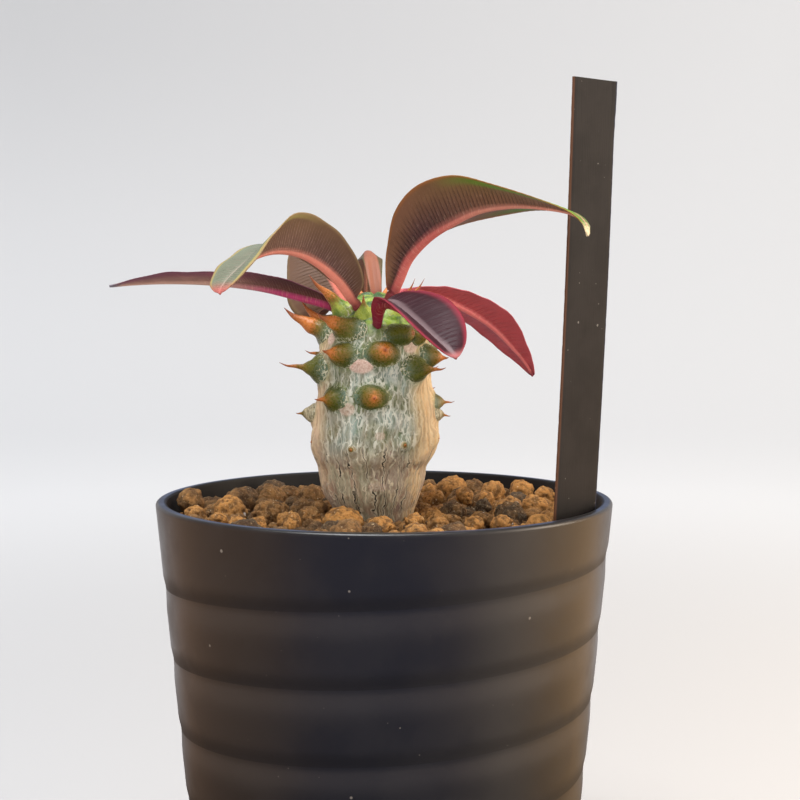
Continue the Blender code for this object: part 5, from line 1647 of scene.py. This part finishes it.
def backdrop_paper(settings):
    """Pale paper that also glows, with painted light: cooler and dimmer towards the left, its glow
    fading upward, most on the left, and absent near the pot. Glossy surfaces see a dim room in it: blue
    in front, brown at the sides.
    """
    tree = Skin("backdrop_paper")
    where = tree.add("ShaderNodeTexCoord").outputs["Object"]
    x, y, above = tree.split(where)
    flat = tree.join(x, y)
    reach = tree.vector("LENGTH", flat)["Value"]
    aside = tree.calculate("DIVIDE", x, tree.calculate("ADD", reach, 0.25))
    # Painted light: colour and glow grow cooler and dimmer towards the left, and the glow fades upward.
    tone = tree.remap(aside, -0.235, 0.235, smooth=False)
    cool = tuple(share * value for share, value in zip((0.91, 0.95, 1.0), settings.backdrop))
    height = tree.remap(above, 0.03, 0.46)
    fade = tree.times(height, tree.remap(tone, 0.0, 1.0, 0.36, 0.07, False))
    shown = tree.times(tree.remap(reach, 0.09, 0.60), tree.calculate("SUBTRACT", 1.0, fade))
    tint = tree.blend(tone, (0.93, 0.95, 0.98), (1.0, 1.02, 1.04))
    tree.feed(tree.bump, {"Distance": 0.0})
    tree.feed(tree.shader, {
        "Base Color": tree.blend(tone, cool, settings.backdrop), "Roughness": 0.9,
        "Specular IOR Level": 0.1, "Emission Strength": settings.glow,
        "Emission Color": tree.blend(shown, (0.0, 0.0, 0.0), tint)})
    sideways, away, _ = tree.split(tree.vector("NORMALIZE", flat)[0])
    window = tree.times(tree.remap(sideways, 0.45, 0.78), tree.remap(away, -0.05, -0.45))
    room = tree.coats((0.75, 0.45, 0.28),
                      (tree.remap(sideways, -0.6, 0.6), (1.62, 0.99, 0.48)),
                      (window, (1.50, 1.20, 0.95)),
                      (tree.remap(away, -0.50, -0.92), (0.18, 0.19, 0.38)),
                      (tree.remap(away, 0.45, 0.85), (0.80, 0.78, 0.80)),
                      (tree.remap(away, 0.955, 0.99), (0.42, 0.52, 0.82)))
    table = tree.remap(reach, 0.05, 0.22, 0.35, 1.0)
    lift = tree.remap(above, 0.3, 1.3, settings.room, 0.4 * settings.room)
    dim = tree.add("ShaderNodeEmission", {"Color": room, "Strength": tree.times(table, lift)})
    tree.unless_mirrored(tree.shader, dim, "Material Output")
    return tree.material


def light_world():
    """A pale sky over the stage, dim in reflections."""
    world = bpy.data.worlds.new("room")
    world.use_nodes = True
    tree = Tree(world.node_tree)
    sky = tree.tree.nodes["Background"]
    tree.feed(sky, {"Color": (0.97, 0.98, 1.0, 1.0), "Strength": 1.0})
    ceiling = tree.add("ShaderNodeBackground",
                       {"Color": (0.64, 0.68, 0.76, 1.0), "Strength": 0.22})
    tree.unless_mirrored(sky, ceiling, "World Output")
    bpy.context.scene.world = world


def soft_light(name, place, aim, size, power, colour, mirrored=True):
    """A rectangular light that the camera doesn't see."""
    data = bpy.data.lights.new(name, "AREA")
    data.shape = "RECTANGLE"
    data.size, data.size_y = (value * MM for value in size)
    data.energy = power
    data.color = colour
    lamp = add_object(name, data)
    lamp.location = Vector(place) * MM
    toward = (Vector(aim) - Vector(place)).normalized()
    lamp.rotation_euler = toward.to_track_quat("-Z", "Y").to_euler()
    lamp.visible_camera = False
    lamp.visible_glossy = mirrored


def place_camera():
    """The camera that matches the photo."""
    data = bpy.data.cameras.new("camera")
    data.lens = CAMERA_LENS
    data.sensor_width = 36.0
    data.clip_start = 0.01
    camera = add_object("camera", data)
    x, y, z = CAMERA_PLACE
    camera.location = (x * MM, y * MM, (z + RIM_HEIGHT) * MM)
    camera.rotation_euler = (math.radians(90.0 - CAMERA_PITCH), 0.0, 0.0)
    bpy.context.scene.camera = camera


def build_stage(settings):
    """The backdrop, the lights and the camera."""
    flat, rise = 900.0, 700.0
    profile = [(1.0, 0.0), (300.0, 0.0), (flat, 0.0)]
    profile += [(flat + rise * math.sin(angle), rise * (1.0 - math.cos(angle)))
                for angle in np.linspace(0.1, 0.5 * math.pi, 16)]
    profile.append((flat + rise, 2000.0))
    profile = [(radius, height - RIM_HEIGHT) for radius, height in profile]
    points, faces = lathe(profile, 96, close_start=True)
    backdrop = make_piece("backdrop", points, faces, backdrop_paper(settings))

    aim = (0.0, 0.0, 90.0)
    soft_light("light_above", (-80, -120, 560), aim, (260, 260), settings.key_power, (0.96, 0.98, 1.0))
    soft_light("light_right", (420, -40, 200), aim, (200, 300), 1.5, (1.0, 0.88, 0.74))
    soft_light("light_front", (-120, -700, 40), aim, (500, 400), 1.9, (1.0, 0.97, 0.93), mirrored=False)
    light_world()
    bpy.context.scene.view_settings.view_transform = "Standard"
    place_camera()


# Operators

class PACHYPODIUM_OT_pot(bpy.types.Operator):
    """Make the black pot with its spiral groove"""
    bl_idname = "pachypodium.pot"
    bl_label = "Pot"

    def execute(self, context):
        build_pot(context.scene.pachypodium.pot)
        return {"FINISHED"}


class PACHYPODIUM_OT_mix(bpy.types.Operator):
    """Fill the pot with clay granules"""
    bl_idname = "pachypodium.mix"
    bl_label = "Potting mix"

    def execute(self, context):
        build_mix(context.scene.pachypodium.mix)
        return {"FINISHED"}


class PACHYPODIUM_OT_stem(bpy.types.Operator):
    """Grow the trunk with its bark, scars, cushions and spines"""
    bl_idname = "pachypodium.stem"
    bl_label = "Stem"

    def execute(self, context):
        settings = context.scene.pachypodium.stem
        build_trunk(settings)
        build_cushions(settings)
        return {"FINISHED"}


class PACHYPODIUM_OT_leaves(bpy.types.Operator):
    """Grow the leaves on the crown"""
    bl_idname = "pachypodium.leaves"
    bl_label = "Leaves"

    def execute(self, context):
        for name, rows in LEAVES.items():
            gloss = 0.42 if name == "leaf_front" else 0.55
            build_leaf(name, rows, context.scene.pachypodium.leaves, gloss)
        return {"FINISHED"}


class PACHYPODIUM_OT_label(bpy.types.Operator):
    """Stick the blank label into the mix"""
    bl_idname = "pachypodium.label"
    bl_label = "Label"

    def execute(self, context):
        build_label(context.scene.pachypodium.label)
        return {"FINISHED"}


class PACHYPODIUM_OT_stage(bpy.types.Operator):
    """Set the pale backdrop, the soft lights and the camera"""
    bl_idname = "pachypodium.stage"
    bl_label = "Stage"

    def execute(self, context):
        build_stage(context.scene.pachypodium.stage)
        return {"FINISHED"}


class PACHYPODIUM_PT_panel(bpy.types.Panel):
    bl_label = "Pachypodium"
    bl_idname = "PACHYPODIUM_PT_panel"
    bl_space_type = "VIEW_3D"
    bl_region_type = "UI"
    bl_category = "Pachypodium"

    def draw(self, context):
        settings = context.scene.pachypodium
        for key in ("pot", "mix", "stem", "leaves", "label", "stage"):
            box = self.layout.box()
            box.operator("pachypodium." + key)
            group = getattr(settings, key)
            for name in group.__annotations__:
                box.prop(group, name)


CLASSES = (
    PotSettings, MixSettings, StemSettings, LeafSettings, LabelSettings, StageSettings,
    PachypodiumSettings, PACHYPODIUM_OT_pot, PACHYPODIUM_OT_mix, PACHYPODIUM_OT_stem,
    PACHYPODIUM_OT_leaves, PACHYPODIUM_OT_label, PACHYPODIUM_OT_stage, PACHYPODIUM_PT_panel,
)


def register():
    for entry in CLASSES:
        bpy.utils.register_class(entry)
    bpy.types.Scene.pachypodium = PointerProperty(type=PachypodiumSettings)


def unregister():
    del bpy.types.Scene.pachypodium
    for entry in reversed(CLASSES):
        bpy.utils.unregister_class(entry)


def main():
    register()
    bpy.ops.pachypodium.pot()
    bpy.ops.pachypodium.mix()
    bpy.ops.pachypodium.stem()
    bpy.ops.pachypodium.leaves()
    bpy.ops.pachypodium.label()
    bpy.ops.pachypodium.stage()


if __name__ == "__main__":
    main()
